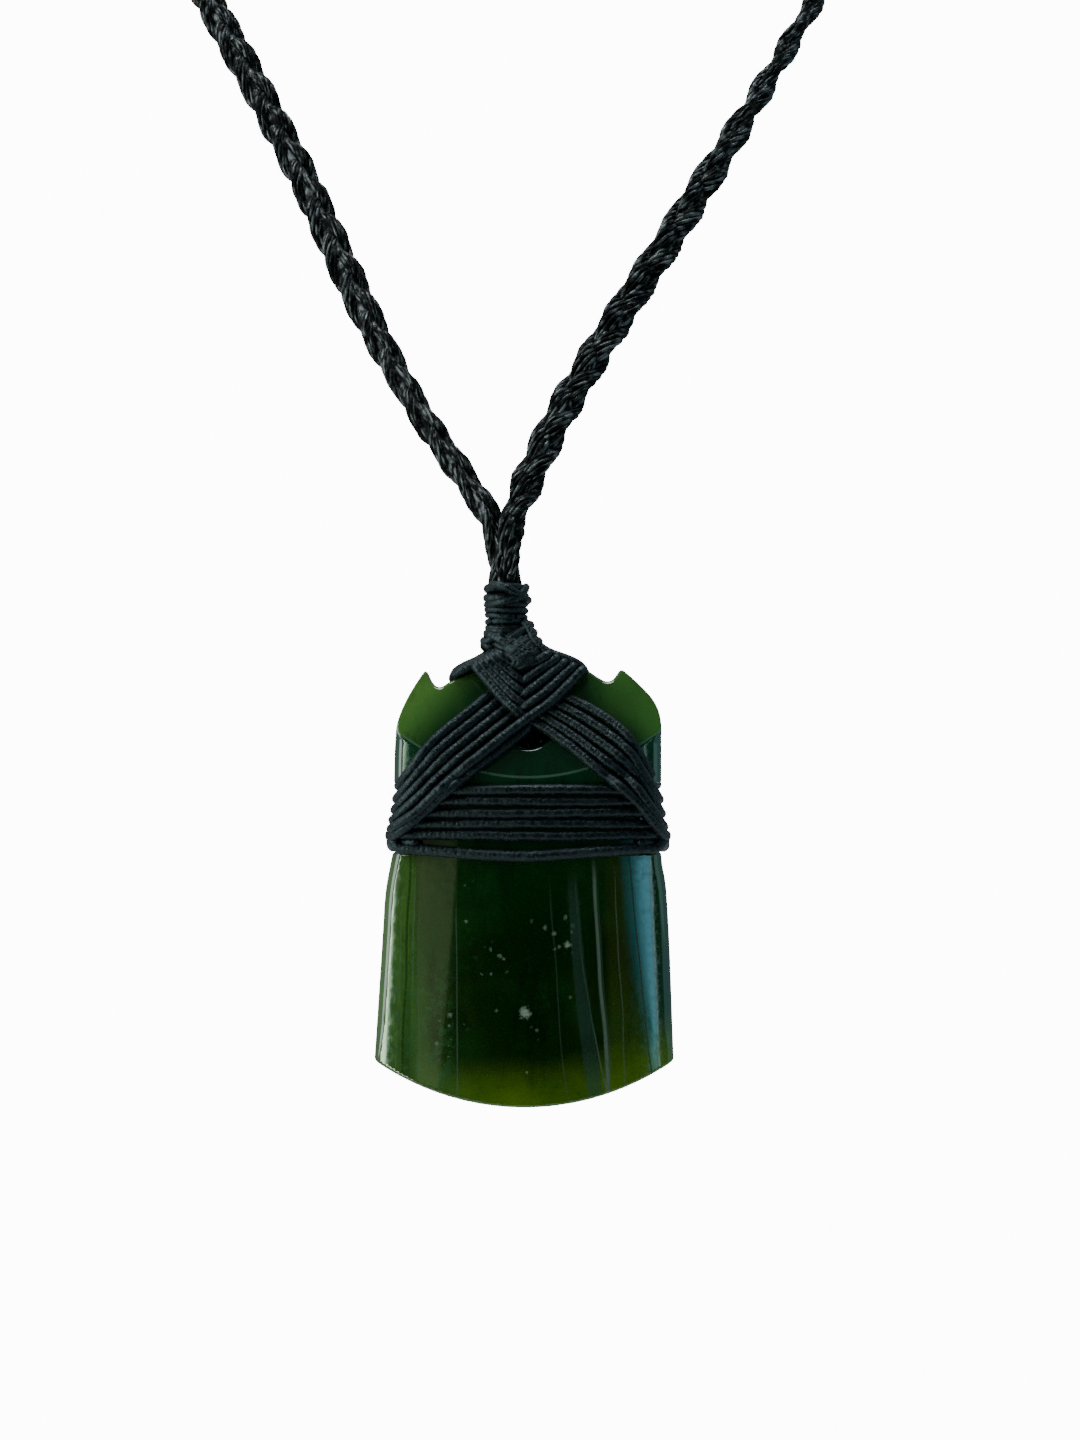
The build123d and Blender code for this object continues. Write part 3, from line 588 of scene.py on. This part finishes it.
def relax(points, rounds):
    """Soften a line's small kinks, keeping its ends."""
    points = points.copy()
    for _ in range(rounds):
        points[1:-1] = points[1:-1] * 0.5 + (points[:-2] + points[2:]) * 0.25
    return points


def normals_along(points):
    """Two normals carried along a line without twist."""
    tangents = unit(np.gradient(points, axis=0))
    normal = np.array([0.0, -1.0, 0.3])
    normals = []
    for tangent in tangents:
        normal = unit(normal - tangent * (normal @ tangent))
        normals.append(normal)
    return np.array(normals), np.cross(tangents, normals)


BRAID_PITCH = 0.95


def tube(shape, points, radius, sides, start=0.0, braid=0.0):
    """A round cord along a line. braid is the height of its woven surface."""
    normals, binormals = normals_along(points)
    marks = lengths(points) + start
    turn = math.tau * np.arange(sides) / sides
    ring = np.broadcast_to(np.reshape(radius, (-1, 1)), (len(points), sides)).copy()
    if braid:
        run = math.tau * marks[:, None] / BRAID_PITCH
        ring += braid * np.sin(run + 3 * turn) * np.sin(run - 3 * turn)
        ring += braid * 1.4 * np.sin(marks[:, None] * 2.1 + turn) * np.sin(marks[:, None] * 0.83 + 1.0)
    ring[[0, -1]] *= 0.25
    across = (ring * np.cos(turn))[:, :, None] * normals[:, None, :]
    around = (ring * np.sin(turn))[:, :, None] * binormals[:, None, :]
    shape.grid(points[:, None, :] + across + around, marks)


# The stone's sides as (up, half width), and its top edge as (across, up)
RIGHT_SIDE = [
    (-42.0, 14.85), (-34.2, 14.55), (-20.2, 14.0), (-18.2, 13.88), (-16.2, 13.7), (-14.6, 13.4),
    (-13.2, 13.28), (-7.2, 13.3), (-2.2, 13.3), (-0.6, 13.28), (0.6, 13.08), (1.9, 12.45), (3.3, 11.2),
    (4.2, 10.25), (5.2, 9.05), (7.0, 6.4),
]
LEFT_SIDE = [
    (-42.0, 15.8), (-34.2, 15.33), (-20.2, 14.42), (-18.2, 14.3), (-16.7, 14.12), (-14.7, 13.75),
    (-13.2, 13.45), (-6.0, 13.35), (-2.2, 13.22), (-0.6, 13.05), (0.8, 12.6), (2.0, 12.05), (3.4, 11.25),
    (4.4, 10.6), (5.3, 9.95), (7.0, 8.6),
]
TOP_EDGE = [
    (-13.0, 8.0), (-10.9, 5.75), (-10.2, 4.75), (-9.6, 3.55), (-9.0, 3.12), (-7.8, 3.66), (-6.45, 4.37),
    (-3.5, 4.95), (-0.5, 5.1), (3.0, 5.08), (5.0, 4.98), (6.0, 4.75), (7.0, 4.1), (7.9, 3.68),
    (8.55, 3.9), (9.2, 4.75), (10.0, 5.9), (12.0, 8.0),
]


def round_max(first, second, radius):
    """The larger of two distances, with a rounded edge where they meet."""
    both = (first > -radius) & (second > -radius)
    edge = np.hypot(np.maximum(first + radius, 0), np.maximum(second + radius, 0)) - radius
    return np.where(both, edge, np.maximum(first, second))


def beyond_curve(points, value, across):
    """Distance outside a curve that is given as a function of one coordinate."""
    here = hermite(points, value)
    slope = (hermite(points, value + 0.02) - hermite(points, value - 0.02)) / 0.04
    return (across - here) / np.sqrt(1 + slope * slope)


def bulge(across):
    """How far back the front of the stone lies."""
    return FRONT_AXIS - np.sqrt(FRONT_RADIUS ** 2 - np.square(across))


def facet_plane(up):
    return (up - FACET_FOOT) * FACET_SLOPE - HALF_STONE


def waist_half(up):
    return NOTCH_HALF + NOTCH_LEAN * (NOTCH_TOP - up)


def stone_distance(place):
    """Roughly how far outside the stone a place lies."""
    a, d, u = place[..., 0], place[..., 1], place[..., 2]
    front = np.hypot(a, d - FRONT_AXIS) - FRONT_RADIUS
    fronts = round_max(front, (facet_plane(u) - d) * math.cos(FACET_ANGLE), 0.12)
    # The long bevel behind the cutting edge
    run, rise = 8.1, 10.0
    bevel = ((d + 3.6) * rise - (u + 38.5) * run) / math.hypot(run, rise)
    backs = round_max(d - HALF_STONE, bevel, 1.5)
    sides = np.maximum(beyond_curve(RIGHT_SIDE, u, a), beyond_curve(LEFT_SIDE, u, -a))
    corner = 0.88 - 0.74 * smooth(-2.6, -0.4, u) - 0.25 * smooth(-30.0, -34.0, u)
    body = round_max(sides, fronts, corner)
    body = round_max(body, backs, 0.8 - 0.5 * smooth(-27.0, -33.0, u))
    body = round_max(body, beyond_curve(TOP_EDGE, a, u), 0.32)
    body = round_max(body, np.hypot(a - EDGE_ACROSS, u - EDGE_UP) - EDGE_RADIUS, 0.28)
    hole = 3.0 - np.hypot(a, u)
    body = round_max(body, hole, 0.35)
    waist = round_max(np.abs(a) - waist_half(u), fronts, 1.2)
    waist = round_max(waist, backs, 1.2)
    outside_notch = 3.45 - np.abs(u + 9.95)
    return round_max(body, np.minimum(outside_notch, waist), 0.2)


def surface_nets(low, high, steps):
    """Points and quads of the stone's surface, one point in each cell of a grid that it crosses."""
    axes = [np.arange(low[k], high[k] + steps[k], steps[k]) for k in range(3)]
    nodes = np.stack(np.meshgrid(*axes, indexing="ij"), -1)
    value = stone_distance(nodes)
    shape = value.shape
    cells = tuple(s - 1 for s in shape)
    total = np.zeros(cells + (3,))
    hits = np.zeros(cells)
    crossings = []
    for axis in range(3):
        others = [k for k in range(3) if k != axis]
        starts = range(shape[axis] - 1)
        v0, v1 = np.take(value, starts, axis), np.take(value, range(1, shape[axis]), axis)
        crossed = (v0 < 0) != (v1 < 0)
        crossings.append((crossed, v0 < 0, others))
        point = np.take(nodes, starts, axis)
        point[..., axis] += np.where(crossed, v0 / np.where(crossed, v0 - v1, 1.0), 0.0) * steps[axis]
        for shifts in ((0, 0), (0, 1), (1, 0), (1, 1)):
            part = [slice(None)] * 3
            for other, shift in zip(others, shifts):
                part[other] = slice(shift, shape[other] - 1 + shift)
            part = tuple(part)
            total += np.where(crossed[part][..., None], point[part], 0.0)
            hits += crossed[part]
    used = hits > 0
    number = np.full(cells, -1)
    number[used] = np.arange(used.sum())
    quads = []
    for axis, (crossed, inside, others) in enumerate(crossings):
        where = np.argwhere(crossed)
        keep = np.all([(where[:, k] > 0) & (where[:, k] < shape[k] - 1) for k in others], axis=0)
        where = where[keep]
        corner = []
        for shifts in ((-1, -1), (0, -1), (0, 0), (-1, 0)):
            cell = where.copy()
            cell[:, others] += shifts
            corner.append(number[tuple(cell.T)])
        quad = np.stack(corner, 1)
        flip = inside[tuple(where.T)] == (axis == 1)
        quad[flip] = quad[flip][:, ::-1]
        quads.append(quad)
    return total[used] / hits[used][:, None], np.concatenate(quads)


def stone_gradient(points):
    gradient = np.zeros_like(points)
    for axis in range(3):
        shift = np.zeros(3)
        shift[axis] = 0.01
        gradient[:, axis] = (stone_distance(points + shift) - stone_distance(points - shift)) / 0.02
    return gradient


def make_stone():
    points, quads = surface_nets((-16.2, -5.2, -39.2), (15.6, 5.2, 5.7), (0.185, 0.225, 0.225))
    for _ in range(5):
        gradient = stone_gradient(points)
        size = np.maximum((gradient ** 2).sum(1), 0.2)
        move = -(stone_distance(points) / size)[:, None] * gradient
        points = points + np.clip(move, -0.15, 0.15)
    gradient = stone_gradient(points)
    shape = Shape()
    shape.vertices.append(points + HOLE)
    shape.quads.append(quads)
    shape.make("greenstone_blade", greenstone, "greenstone", ("stone_blade",), unit(gradient))


make_stone()


# The lashing
CORD = 0.50     # half the cord's thickness
PITCH = 1.12


def ring_path(drop, offset, corner, wobble, seed):
    """A level turn round the waist, starting and ending at the middle of the back."""
    reach = waist_half(-drop) + offset
    back = HALF_STONE + offset
    front_at = float(bulge(reach - corner)) - offset
    turns = np.radians([0.0, 22.5, 45.0, 67.5, 90.0])
    arc = [(corner * (1 - math.sin(turn)), corner * (1 - math.cos(turn))) for turn in turns]
    points = [(0.3, back), (-reach * 0.5, back)]
    points += [(-reach + s, back - c) for s, c in arc]
    points.append((-reach, 0.6))
    points += [(-reach + c, front_at + s) for s, c in arc]
    for share in (-0.6, -0.35, -0.1, 0.15, 0.4, 0.65):
        across = share * reach
        points.append((across, float(bulge(across)) - offset))
    points += [(reach - s, front_at + c) for s, c in arc]
    points.append((reach, 0.6))
    points += [(reach - c, back - s) for s, c in arc]
    points += [(reach * 0.5, back), (-0.6, back)]
    across, depth = np.array(points).T
    up = -drop + wobble * np.sin(seed * 2.3 + across * (0.21 + 0.04 * (seed % 3)) + depth * 0.3)
    return np.stack([across, depth, up], 1)


def cord(shape, path, radius=CORD, steps=6, rounds=4, start=0.0):
    """A waxed cord through the points of a path, which are places on the stone."""
    line = relax(resample(catmull(path, steps), 0.18), rounds)
    tube(shape, line + HOLE, radius, 12, start, 0.010)


def make_lashing(shape, name, node):
    shape.make(name, waxed, "waxed_cord", (node,))


def make_wraps():
    shape = Shape()
    for index in range(5):
        path = ring_path(7.12 + PITCH * index, 0.04 + CORD, 1.75, 0.06, index + 1)
        path[:, 0] *= 1.0 + 0.012 * index * smooth(9.0, 12.0, np.abs(path[:, 0]))
        cord(shape, path, CORD * (1.0 + 0.03 * (-1) ** index), 8, 2, index * 3.7)
    # A turn at the foot of the notches shows only at the sides and the back
    path = ring_path(12.35, 0.02 + CORD, 1.75, 0.0, 5)
    hidden = np.flatnonzero((path[:, 1] < -1.5) & (np.abs(path[:, 0]) < 10.7))
    path = np.concatenate([path[hidden[-1] + 1:], path[1:hidden[0]]])
    cord(shape, path, CORD, 8, 2, 19.0)
    # The lowest turn goes over the other cords at both sides, rises there and hangs in the middle
    path = ring_path(13.15, 0.04 + 1.12 * CORD, 1.75, 0.05, 6)
    away = np.abs(path[:, 0])
    rise = smooth(12.3, 12.69, away) * smooth(3.0, -0.5, path[:, 1])
    path[:, 0] *= 1.0 + 0.078 * smooth(11.6, 12.7, away)
    path[:, 2] += np.where(path[:, 0] < 0, 1.35, 1.25) * rise
    path[:, 2] -= 0.42 * smooth(9.0, 1.0, np.abs(path[:, 0] + 0.5))
    path[:, 2] += 0.22 * smooth(8.0, 12.0, np.abs(path[:, 0]))
    cord(shape, path, CORD * 1.12, 8, 2, 22.0)
    make_lashing(shape, "waist_turns", "waist_wraps")


def crown_base(up):
    """How far back the front of the stone, or of the knot above it, lies."""
    plane = facet_plane(up)
    return plane - smooth(3.6, 8.0, up) * (plane - 0.35)


def slant(front, side, drop, reach_out, layer, top, sag):
    """A cord from the top of the blade down the front, round the side notch and up the back."""
    corner = 2.6
    side_at = waist_half(-drop) + 0.04 + 3 * CORD + reach_out
    flat = resample(catmull(np.column_stack([front, np.zeros(len(front))])), 0.45)[:, :2]
    keep = np.abs(flat[:, 0]) < side_at - corner
    flat = flat[keep | (np.arange(len(flat)) < 4)]
    across, up = flat[:, 0], flat[:, 1]
    level = layer(across) * 2 * CORD * 0.92
    # Over the level turns the cord lies one cord further out
    surface = np.maximum(bulge(across), crown_base(up))
    depth = surface - 0.05 - CORD - smooth(5.7, 6.9, -up) * (2 * CORD) - level
    fronts = np.column_stack([across, depth, up])
    # Behind the hole the cords cross lower down
    back_up = up - sag * smooth(9.5, 4.0, np.abs(across)) * smooth(6.2, 3.4, up)
    depth = HALF_STONE + 0.05 + CORD + smooth(5.7, 6.9, -back_up) * (2 * CORD) + level
    depth -= smooth(3.6, 8.0, up) * 0.6
    backs = np.column_stack([across, depth, back_up])
    # Round the notch
    turns = np.radians(np.arange(15.0, 91.0, 15.0))
    run = side_at - abs(across[-1])
    inset = run * 0.9 * (1 - np.cos(turns))
    corners = []
    for last, inward in ((fronts[-1], inset), (backs[-1], -inset)):
        x = side * (abs(last[0]) + run * np.sin(turns))
        corners.append(np.column_stack([x, last[1] + inward, last[2] - (drop + last[2]) * np.sin(turns)]))
    path = np.concatenate([fronts, corners[0], corners[1][::-1], backs[::-1]])
    if top:
        behind, before = backs[0], fronts[0]
        out = np.array([-0.30, 0.0, 0.50]) * (0.45 if side < 0 else 1.0)
        middle = (behind + before) / 2 + out * 1.1
        start = [middle, behind * 0.25 + before * 0.75 + out * 0.9]
        end = [behind * 0.75 + before * 0.25 + out * 0.9, middle + np.array([0, -0.5, 0])]
        path = np.concatenate([start, path, end])
    return path


# Front lines of the first and the last cord of each hand, from the top of the crown to the side
LEFT_FIRST = np.array([
    (2.0, 6.3), (-0.5, 4.95), (-3.7, 2.45), (-6.6, 0.05), (-9.45, -2.35), (-10.85, -4.1), (-12.6, -6.2)])
LEFT_LAST = np.array([
    (5.5, 4.85), (2.2, 1.55), (-0.5, -0.35), (-4.6, -3.55), (-7.6, -6.0), (-10.2, -8.5), (-12.4, -10.8)])
LEFT_HOLE = np.array([
    (-0.2, -1.2), (-1.3, -2.05), (-3.4, -3.65), (-5.5, -5.2), (-7.7, -7.0), (-10.35, -9.4), (-12.3, -11.4)])
RIGHT_FIRST = np.array([
    (-2.9, 6.3), (-1.9, 5.75), (-0.6, 4.8), (1.4, 3.3), (4.6, 1.75), (7.3, 0.3), (9.6, -1.45), (12.4, -5.2)])
RIGHT_LAST = np.array([
    (-5.2, 5.15), (-2.3, 1.75), (-0.6, 0.25), (1.6, -1.0), (4.3, -2.9), (6.7, -4.9), (9.3, -6.95),
    (13.2, -10.4)])
LEFT_DROPS = [6.75, 8.05, 9.15, 10.15, 11.0]
RIGHT_DROPS = [6.6, 8.1, 9.5, 10.8, 11.9]
BACK_SAGS = [2.7, 2.9, 3.2, 3.5, 3.5]
RIDGE = -0.5    # where the two hands cross, at the middle of the crown


def over_ridge(across):
    """Nothing to the left of the ridge and one to its right."""
    return smooth(RIDGE - 0.75, RIDGE + 0.75, across)


def under_ridge(across):
    return 1.0 - over_ridge(across)


def last_over_ridge(across):
    return np.maximum(over_ridge(across), 0.45 + 0.55 * smooth(-8.5, -3.2, across))


def make_left():
    shape = Shape()
    for k in range(5):
        front = LEFT_FIRST + (LEFT_LAST - LEFT_FIRST) * k / 4
        layer = last_over_ridge if k == 4 else over_ridge
        path = slant(front, -1, LEFT_DROPS[k], 0.05 * k, layer, True, BACK_SAGS[k])
        cord(shape, path, CORD, 4, 4, k * 5.1)
    # A cord through the hole and down to the left
    path = slant(LEFT_HOLE, -1, 11.9, 0.05, np.zeros_like, False, 1.65)
    path = np.concatenate([[[0.9, -0.6, 0.2]], path, [[1.3, 4.3, -1.7], [0.9, 1.5, 0.2]]])
    cord(shape, path, CORD, 4, 4, 31.0)
    make_lashing(shape, "left_lashing_cords", "left_lashing")


def make_right():
    shape = Shape()
    for k in range(5):
        front = RIGHT_FIRST + (RIGHT_LAST - RIGHT_FIRST) * k / 4
        path = slant(front, 1, RIGHT_DROPS[k], 0.05 * k, under_ridge, True, BACK_SAGS[k])
        cord(shape, path, CORD, 4, 4, k * 4.3 + 2)
    # A cord from the hole, down the back to the right
    path = [(0.1, 1.2, 0.1), (0.0, 3.6, -1.7), (0.6, 5.0, -2.9), (2.4, 5.15, -3.9), (5.0, 5.15, -5.4),
            (7.4, 5.6, -7.6), (8.6, 5.9, -9.0)]
    cord(shape, path, CORD, 8, 3, 27.0)
    make_lashing(shape, "right_lashing_cords", "right_lashing")


def make_crown():
    """The crown's core, the cords along the top, and the crossings and matted threads at the neck."""
    shape = Shape()
    # Rows of the core: height, middle across, half width, place back, half depth
    rows = np.array([
        (4.3, -0.7, 5.4, 2.6, 1.9), (5.2, -0.6, 5.2, 2.6, 2.0), (6.1, -0.8, 4.3, 2.5, 2.2),
        (7.0, -1.2, 3.0, 2.45, 2.2), (8.2, -1.8, 2.2, 2.4, 1.9), (9.4, -2.2, 1.5, 2.4, 1.45),
    ])
    turn = math.tau * np.arange(48) / 48
    heights = np.linspace(4.3, 9.4, 40)[:, None]
    middle, wide, back, deep = [np.interp(heights, rows[:, 0], rows[:, k]) for k in range(1, 5)]
    ripple = 1 + 0.03 * np.sin(turn * 16 + heights * 7)
    x, y = middle + wide * ripple * np.cos(turn), back + deep * ripple * np.sin(turn)
    core = np.stack([x, y, np.broadcast_to(heights, x.shape)], -1)
    shape.grid(core + HOLE, heights[:, 0])
    # Cords over the left of the top
    for index in range(5):
        depth = 0.15 + 0.9 * index
        rise = 0.10 * index - 0.05
        path = [
            (-1.6, depth * 0.6 + 0.7, 8.0 + rise), (-2.7, depth * 0.8 + 0.2, 7.0 + rise),
            (-3.8, depth - 0.1, 6.25 + rise), (-5.2, depth - 0.25, 5.45 + rise),
            (-6.5, depth - 0.15, 4.85 + rise), (-7.35, depth + 0.55, 4.25 + rise),
            (-7.5, depth * 0.6 + 2.6, 3.9), (-7.0, 5.1, 3.2 - 0.3 * index), (-4.5, 5.2, 0.9 - 0.5 * index),
        ]
        cord(shape, path, CORD * 0.96, 8, 3, index * 2.9)
    # Cords along the right of the top
    for index in range(4):
        depth = -0.15 + 0.95 * index
        path = np.array([
            (-0.7, 2.0 + 0.3 * index, 10.1), (-0.2, depth * 0.6 + 1.0, 9.4), (0.30, depth + 0.6, 8.5),
            (0.80, depth + 0.2, 7.6), (1.95, depth, 6.65), (3.8, depth - 0.2, 5.95),
            (5.15, depth - 0.2, 5.3), (5.55, depth + 0.6, 4.75), (5.5, 4.9, 4.1), (3.8, 5.3, 2.2),
        ])
        path[:, 2] -= 0.05 * index
        cord(shape, path, CORD * 0.92, 8, 3, index * 3.1)
    # The first crossings, which wrap the foot of the neck from its right and from its left
    for index, (low_x, low, high_x, high, edge_x, edge) in enumerate((
        (-0.9, 6.0, 0.2, 7.0, 0.95, 7.55),
        (-1.2, 7.05, -0.4, 7.8, 0.45, 8.45),
        (-1.6, 8.0, -0.8, 8.6, 0.10, 9.2),
    )):
        path = [
            (low_x - 0.9, 0.9, low - 0.55), (low_x, 0.0, low), (high_x, 0.2 + 0.1 * index, high),
            (edge_x, 1.4, edge), (edge_x - 0.1, 3.2, edge + 0.2), (edge_x - 1.6, 4.7, edge + 0.1),
            (-3.4, 4.6, edge - 0.4),
        ]
        cord(shape, path, CORD * 0.95, 8, 3, index * 3.3)
    for index, (low_x, low, high_x, high, edge_x, edge) in enumerate((
        (-0.9, 5.7, -2.2, 6.75, -3.3, 7.5),
        (-1.0, 6.6, -2.3, 7.5, -3.7, 8.3),
    )):
        path = [
            (low_x + 0.9, 0.9, low - 0.6), (low_x, -0.15, low), (high_x, -0.2, high),
            (edge_x, 0.9, edge), (edge_x - 0.35, 2.6, edge + 0.2), (-2.4, 4.7, edge - 0.2),
        ]
        cord(shape, path, CORD * 0.95, 8, 3, index * 3.3 + 1)
    # The flattened, matted threads of the first crossings
    for index in range(24):
        hand = 1 if index % 2 else -1
        steps = np.linspace(-1.0, 1.0, 9)
        high = 5.1 + 0.16 * index - 1.35 * steps + 0.12 * np.sin(index * 2.3 + steps * 4.0)
        centre = np.interp(high, [4.6, 6.5, 8.0, 9.4], [-0.6, -0.6, -1.25, -2.1])
        spread = np.interp(high, [4.6, 6.5, 8.0, 9.4], [1.3, 2.5, 2.2, 1.6])
        depth = np.interp(high, [4.2, 5.4, 6.5, 7.6, 8.4, 10.0], [-0.3, -1.30, -1.10, -0.45, 0.45, 1.2])
        depth += 1.9 * np.abs(steps) ** 3 + 0.06 * (index % 3)
        cord(shape, np.column_stack([centre + steps * spread * hand, depth, high]), 0.27, 6, 2, index * 5.9)
    make_lashing(shape, "crown_cords", "crown_lashing")


def neck_turn(shape, up, wide, lean, phase, radius, start):
    turn = np.linspace(0, math.tau, 72) + phase
    x, y = NECK[0] + wide * np.cos(turn), NECK[1] + wide * 0.97 * np.sin(turn)
    path = np.column_stack([x, y, up + lean * np.cos(turn - phase * 0.5)])
    cord(shape, path, radius, 2, 1, start)


def make_whipping():
    shape = Shape()
    for index, (up, wide, lean, radius) in enumerate((
        (7.95, 2.02, 0.22, 0.38), (8.55, 1.92, -0.14, 0.34), (9.12, 1.86, 0.12, 0.33),
        (9.68, 1.86, -0.08, 0.33), (10.25, 1.87, 0.14, 0.34), (10.85, 1.90, 0.06, 0.36),
        (11.45, 1.94, -0.06, 0.36),
    )):
        neck_turn(shape, up, wide, lean, 1.3 * index, radius, index * 3.3)
    make_lashing(shape, "neck_turns", "neck_whipping")


def make_hitch():
    """Two thick turns side by side with a diagonal hitch over them, and the knot at the neck's foot."""
    shape = Shape()
    neck_turn(shape, 12.15, 1.90, 0.12, 2.0, 0.46, 0.0)
    neck_turn(shape, 12.95, 1.86, -0.18, 2.6, 0.46, 2.1)
    # Two cords of the hitch, then two of the knot
    for start, path in (
        (9.0, [(-3.9, 1.6, 13.1), (-3.2, 0.45, 13.35), (-2.2, -0.05, 13.05), (-1.2, 0.15, 12.5),
               (-0.3, 0.9, 12.0), (0.05, 2.0, 11.8)]),
        (9.0, [(-0.2, 2.4, 13.2), (-0.35, 1.2, 12.9), (-0.9, 0.35, 12.2), (-1.9, 0.0, 11.75),
               (-3.0, 0.35, 11.5), (-3.9, 1.4, 11.35)]),
        (14.0, [(-2.4, 0.2, 8.4), (-3.6, 0.5, 7.9), (-4.45, 1.2, 7.35), (-4.2, 1.7, 6.95),
                (-3.5, 1.0, 7.1), (-3.0, 0.6, 7.6)]),
        (14.0, [(-4.0, 2.6, 7.9), (-4.45, 1.7, 7.75), (-4.2, 0.9, 7.3), (-3.6, 0.6, 6.95),
                (-3.1, 1.0, 6.8)]),
    ):
        cord(shape, path, 0.42, 8, 2, start)
    make_lashing(shape, "hitch_turns", "whipping_hitch")


# The plaited necklace, on the same route as the solids
# Each place is across, up along the loop's plane, and the plait's roll in degrees
ROUTE = [
    (-2.9, 3.6, 0), (-8.5, 13.6, 5), (-14.4, 26.4, 0), (-22.6, 47.6, -5), (-33.7, 72.9, 0),
    (-50.5, 110.0, 20), (-66.5, 147.5, 40), (-74.8, 179.0, 60), (-68.0, 213.0, 90), (-43.0, 243.0, 90),
    (0.0, 255.5, 90), (43.0, 243.0, 90), (68.0, 213.0, 90), (74.8, 179.0, 90), (66.5, 147.5, 90),
    (50.5, 110.0, 80), (34.2, 72.9, 70), (26.0, 55.6, 50), (17.8, 39.1, 25), (10.6, 25.0, 10),
    (5.2, 13.6, 0), (1.5, 3.6, 0),
]
PERIOD = 14.0


def plait_route():
    """The route with both ends led down through the whipping: places, and how the plait rolls."""
    centre = HOLE + NECK
    left_end = [(-0.35, 0.45, 9.5), (-0.62, 0.5, 13.4), (-0.75, 0.6, 17.0), (-1.45, 0.75, 19.6)]
    right_end = [(0.6, -0.45, 19.4), (0.10, -0.50, 16.8), (0.35, -0.4, 13.4), (0.1, -0.4, 9.5)]
    places = [centre + place for place in left_end]
    places += [FORK + np.array([across, 0.0, 0.0]) + LOOP_UP * along for across, along, _ in ROUTE]
    places += [centre + place for place in right_end]
    rolls = [0] * len(left_end) + [roll for _, _, roll in ROUTE] + [0] * len(right_end)
    line = catmull(places, 24)
    roll = np.interp(np.linspace(0, len(places) - 1, len(line)), np.arange(len(places)), rolls)
    return line, np.radians(roll)


def even_route(spacing_near, spacing_far):
    """The route, closer set near the pendant: places along it, points, rolls and the whole length."""
    line, roll = plait_route()
    marks = lengths(line)
    length = marks[-1]
    at = [0.0]
    while at[-1] < length:
        far = min(at[-1], length - at[-1]) > 125.0
        at.append(at[-1] + (spacing_far if far else spacing_near))
    at = np.minimum(np.array(at), length)
    if at[-1] - at[-2] < 0.05:
        at = np.delete(at, -2)
    return at, relax(sample(line, marks, at), 3), np.interp(at, marks, roll), length


def make_plait():
    at, points, roll, length = even_route(0.42, 0.8)
    tangents = unit(np.gradient(points, axis=0))
    across = unit(np.cross(tangents, LOOP_FRONT))
    front = np.cross(across, tangents)
    cos, sin = np.cos(roll)[:, None], np.sin(roll)[:, None]
    wide = across * cos + front * sin
    deep = front * cos - across * sin
    end = np.minimum(at, length - at)
    gather = 0.92 + 0.08 * smooth(9.0, 18.0, end) - 0.36 * smooth(3.9, 2.9, end)
    left_marks = [0, 14, 30, 44, 120, 200]
    right_marks = [length - run for run in (200, 90, 78, 58, 16, 9, 0)]
    gather *= np.interp(at, left_marks + right_marks,
                        [1.0, 1.0, 1.0, 1.28, 1.28, 1.1, 1.1, 0.94, 0.96, 1.36, 1.36, 1.05, 1.0])
    # The plait's pitch changes along it
    period = np.interp(at, [0, 120, 200] + [length - run for run in (200, 90, 50, 20, 0)],
                       [16.8, 16.6, PERIOD, PERIOD, 22.0, 19.5, 17.0, 17.0])
    pace = np.concatenate([[0.0], np.cumsum(np.diff(at) * math.tau / period[1:])])
    pace *= round(pace[-1] / math.tau) * math.tau / pace[-1]
    # On the right the strands swing less and are thicker
    right = smooth(length - 120.0, length - 80.0, at)
    swing = 0.80 - 0.28 * right
    for strand in range(3):
        phase = pace + math.tau * strand / 3
        middle = (points + wide * (swing * gather * np.cos(phase))[:, None]
                  + deep * (0.56 * gather * np.sin(2 * phase))[:, None])
        heading = unit(np.gradient(middle, axis=0))
        flat = unit(np.cross(deep, heading))
        out = np.cross(heading, flat)
        shape = Shape()
        # Two thicker inner threads and a ring of nine round them
        ring = 9
        threads = [(0.45, 0.1), (-0.45, -0.1)]
        turns = [math.tau * k / ring for k in range(ring)]
        threads += [(math.cos(turn), math.sin(turn)) for turn in turns]
        twist = math.tau * at / 11.0 + 0.35 * np.sin(at / 5.3 + strand)
        for index, (x, y) in enumerate(threads):
            turn_x = x * np.cos(twist) - y * np.sin(twist)
            turn_y = x * np.sin(twist) + y * np.cos(twist)
            wander = 0.05 * np.sin(at * (1.1 + 0.17 * index) + index * 1.7 + strand)
            rise = 0.04 * np.sin(at * (1.7 - 0.11 * index) + index * 2.9 + strand * 2)
            line = (middle + flat * (((0.45 + 0.19 * right) * gather * turn_x) + wander)[:, None]
                    + out * (0.33 * (0.4 + 0.6 * gather) * turn_y + rise)[:, None])
            size = (0.215 + 0.03 * right) * (1 + 0.12 * np.sin(at * (0.8 + 0.07 * index) + index))
            tube(shape, line, size * (1.4 if index < 2 else 1.0), 5, index * 37.7 + strand * 411.3)
        replaced = [f"plait_strand_{strand + 1}"]
        if strand == 0:
            # The dark middle of the plait, which shows only between the threads
            tube(shape, points, 0.55 * gather, 8)
            replaced.append("fork_bundle")
        shape.make(f"plait_threads_{strand + 1}", plaited, "plait_cord", replaced)


make_wraps()
make_left()
make_right()
make_crown()
make_whipping()
make_hitch()
make_plait()
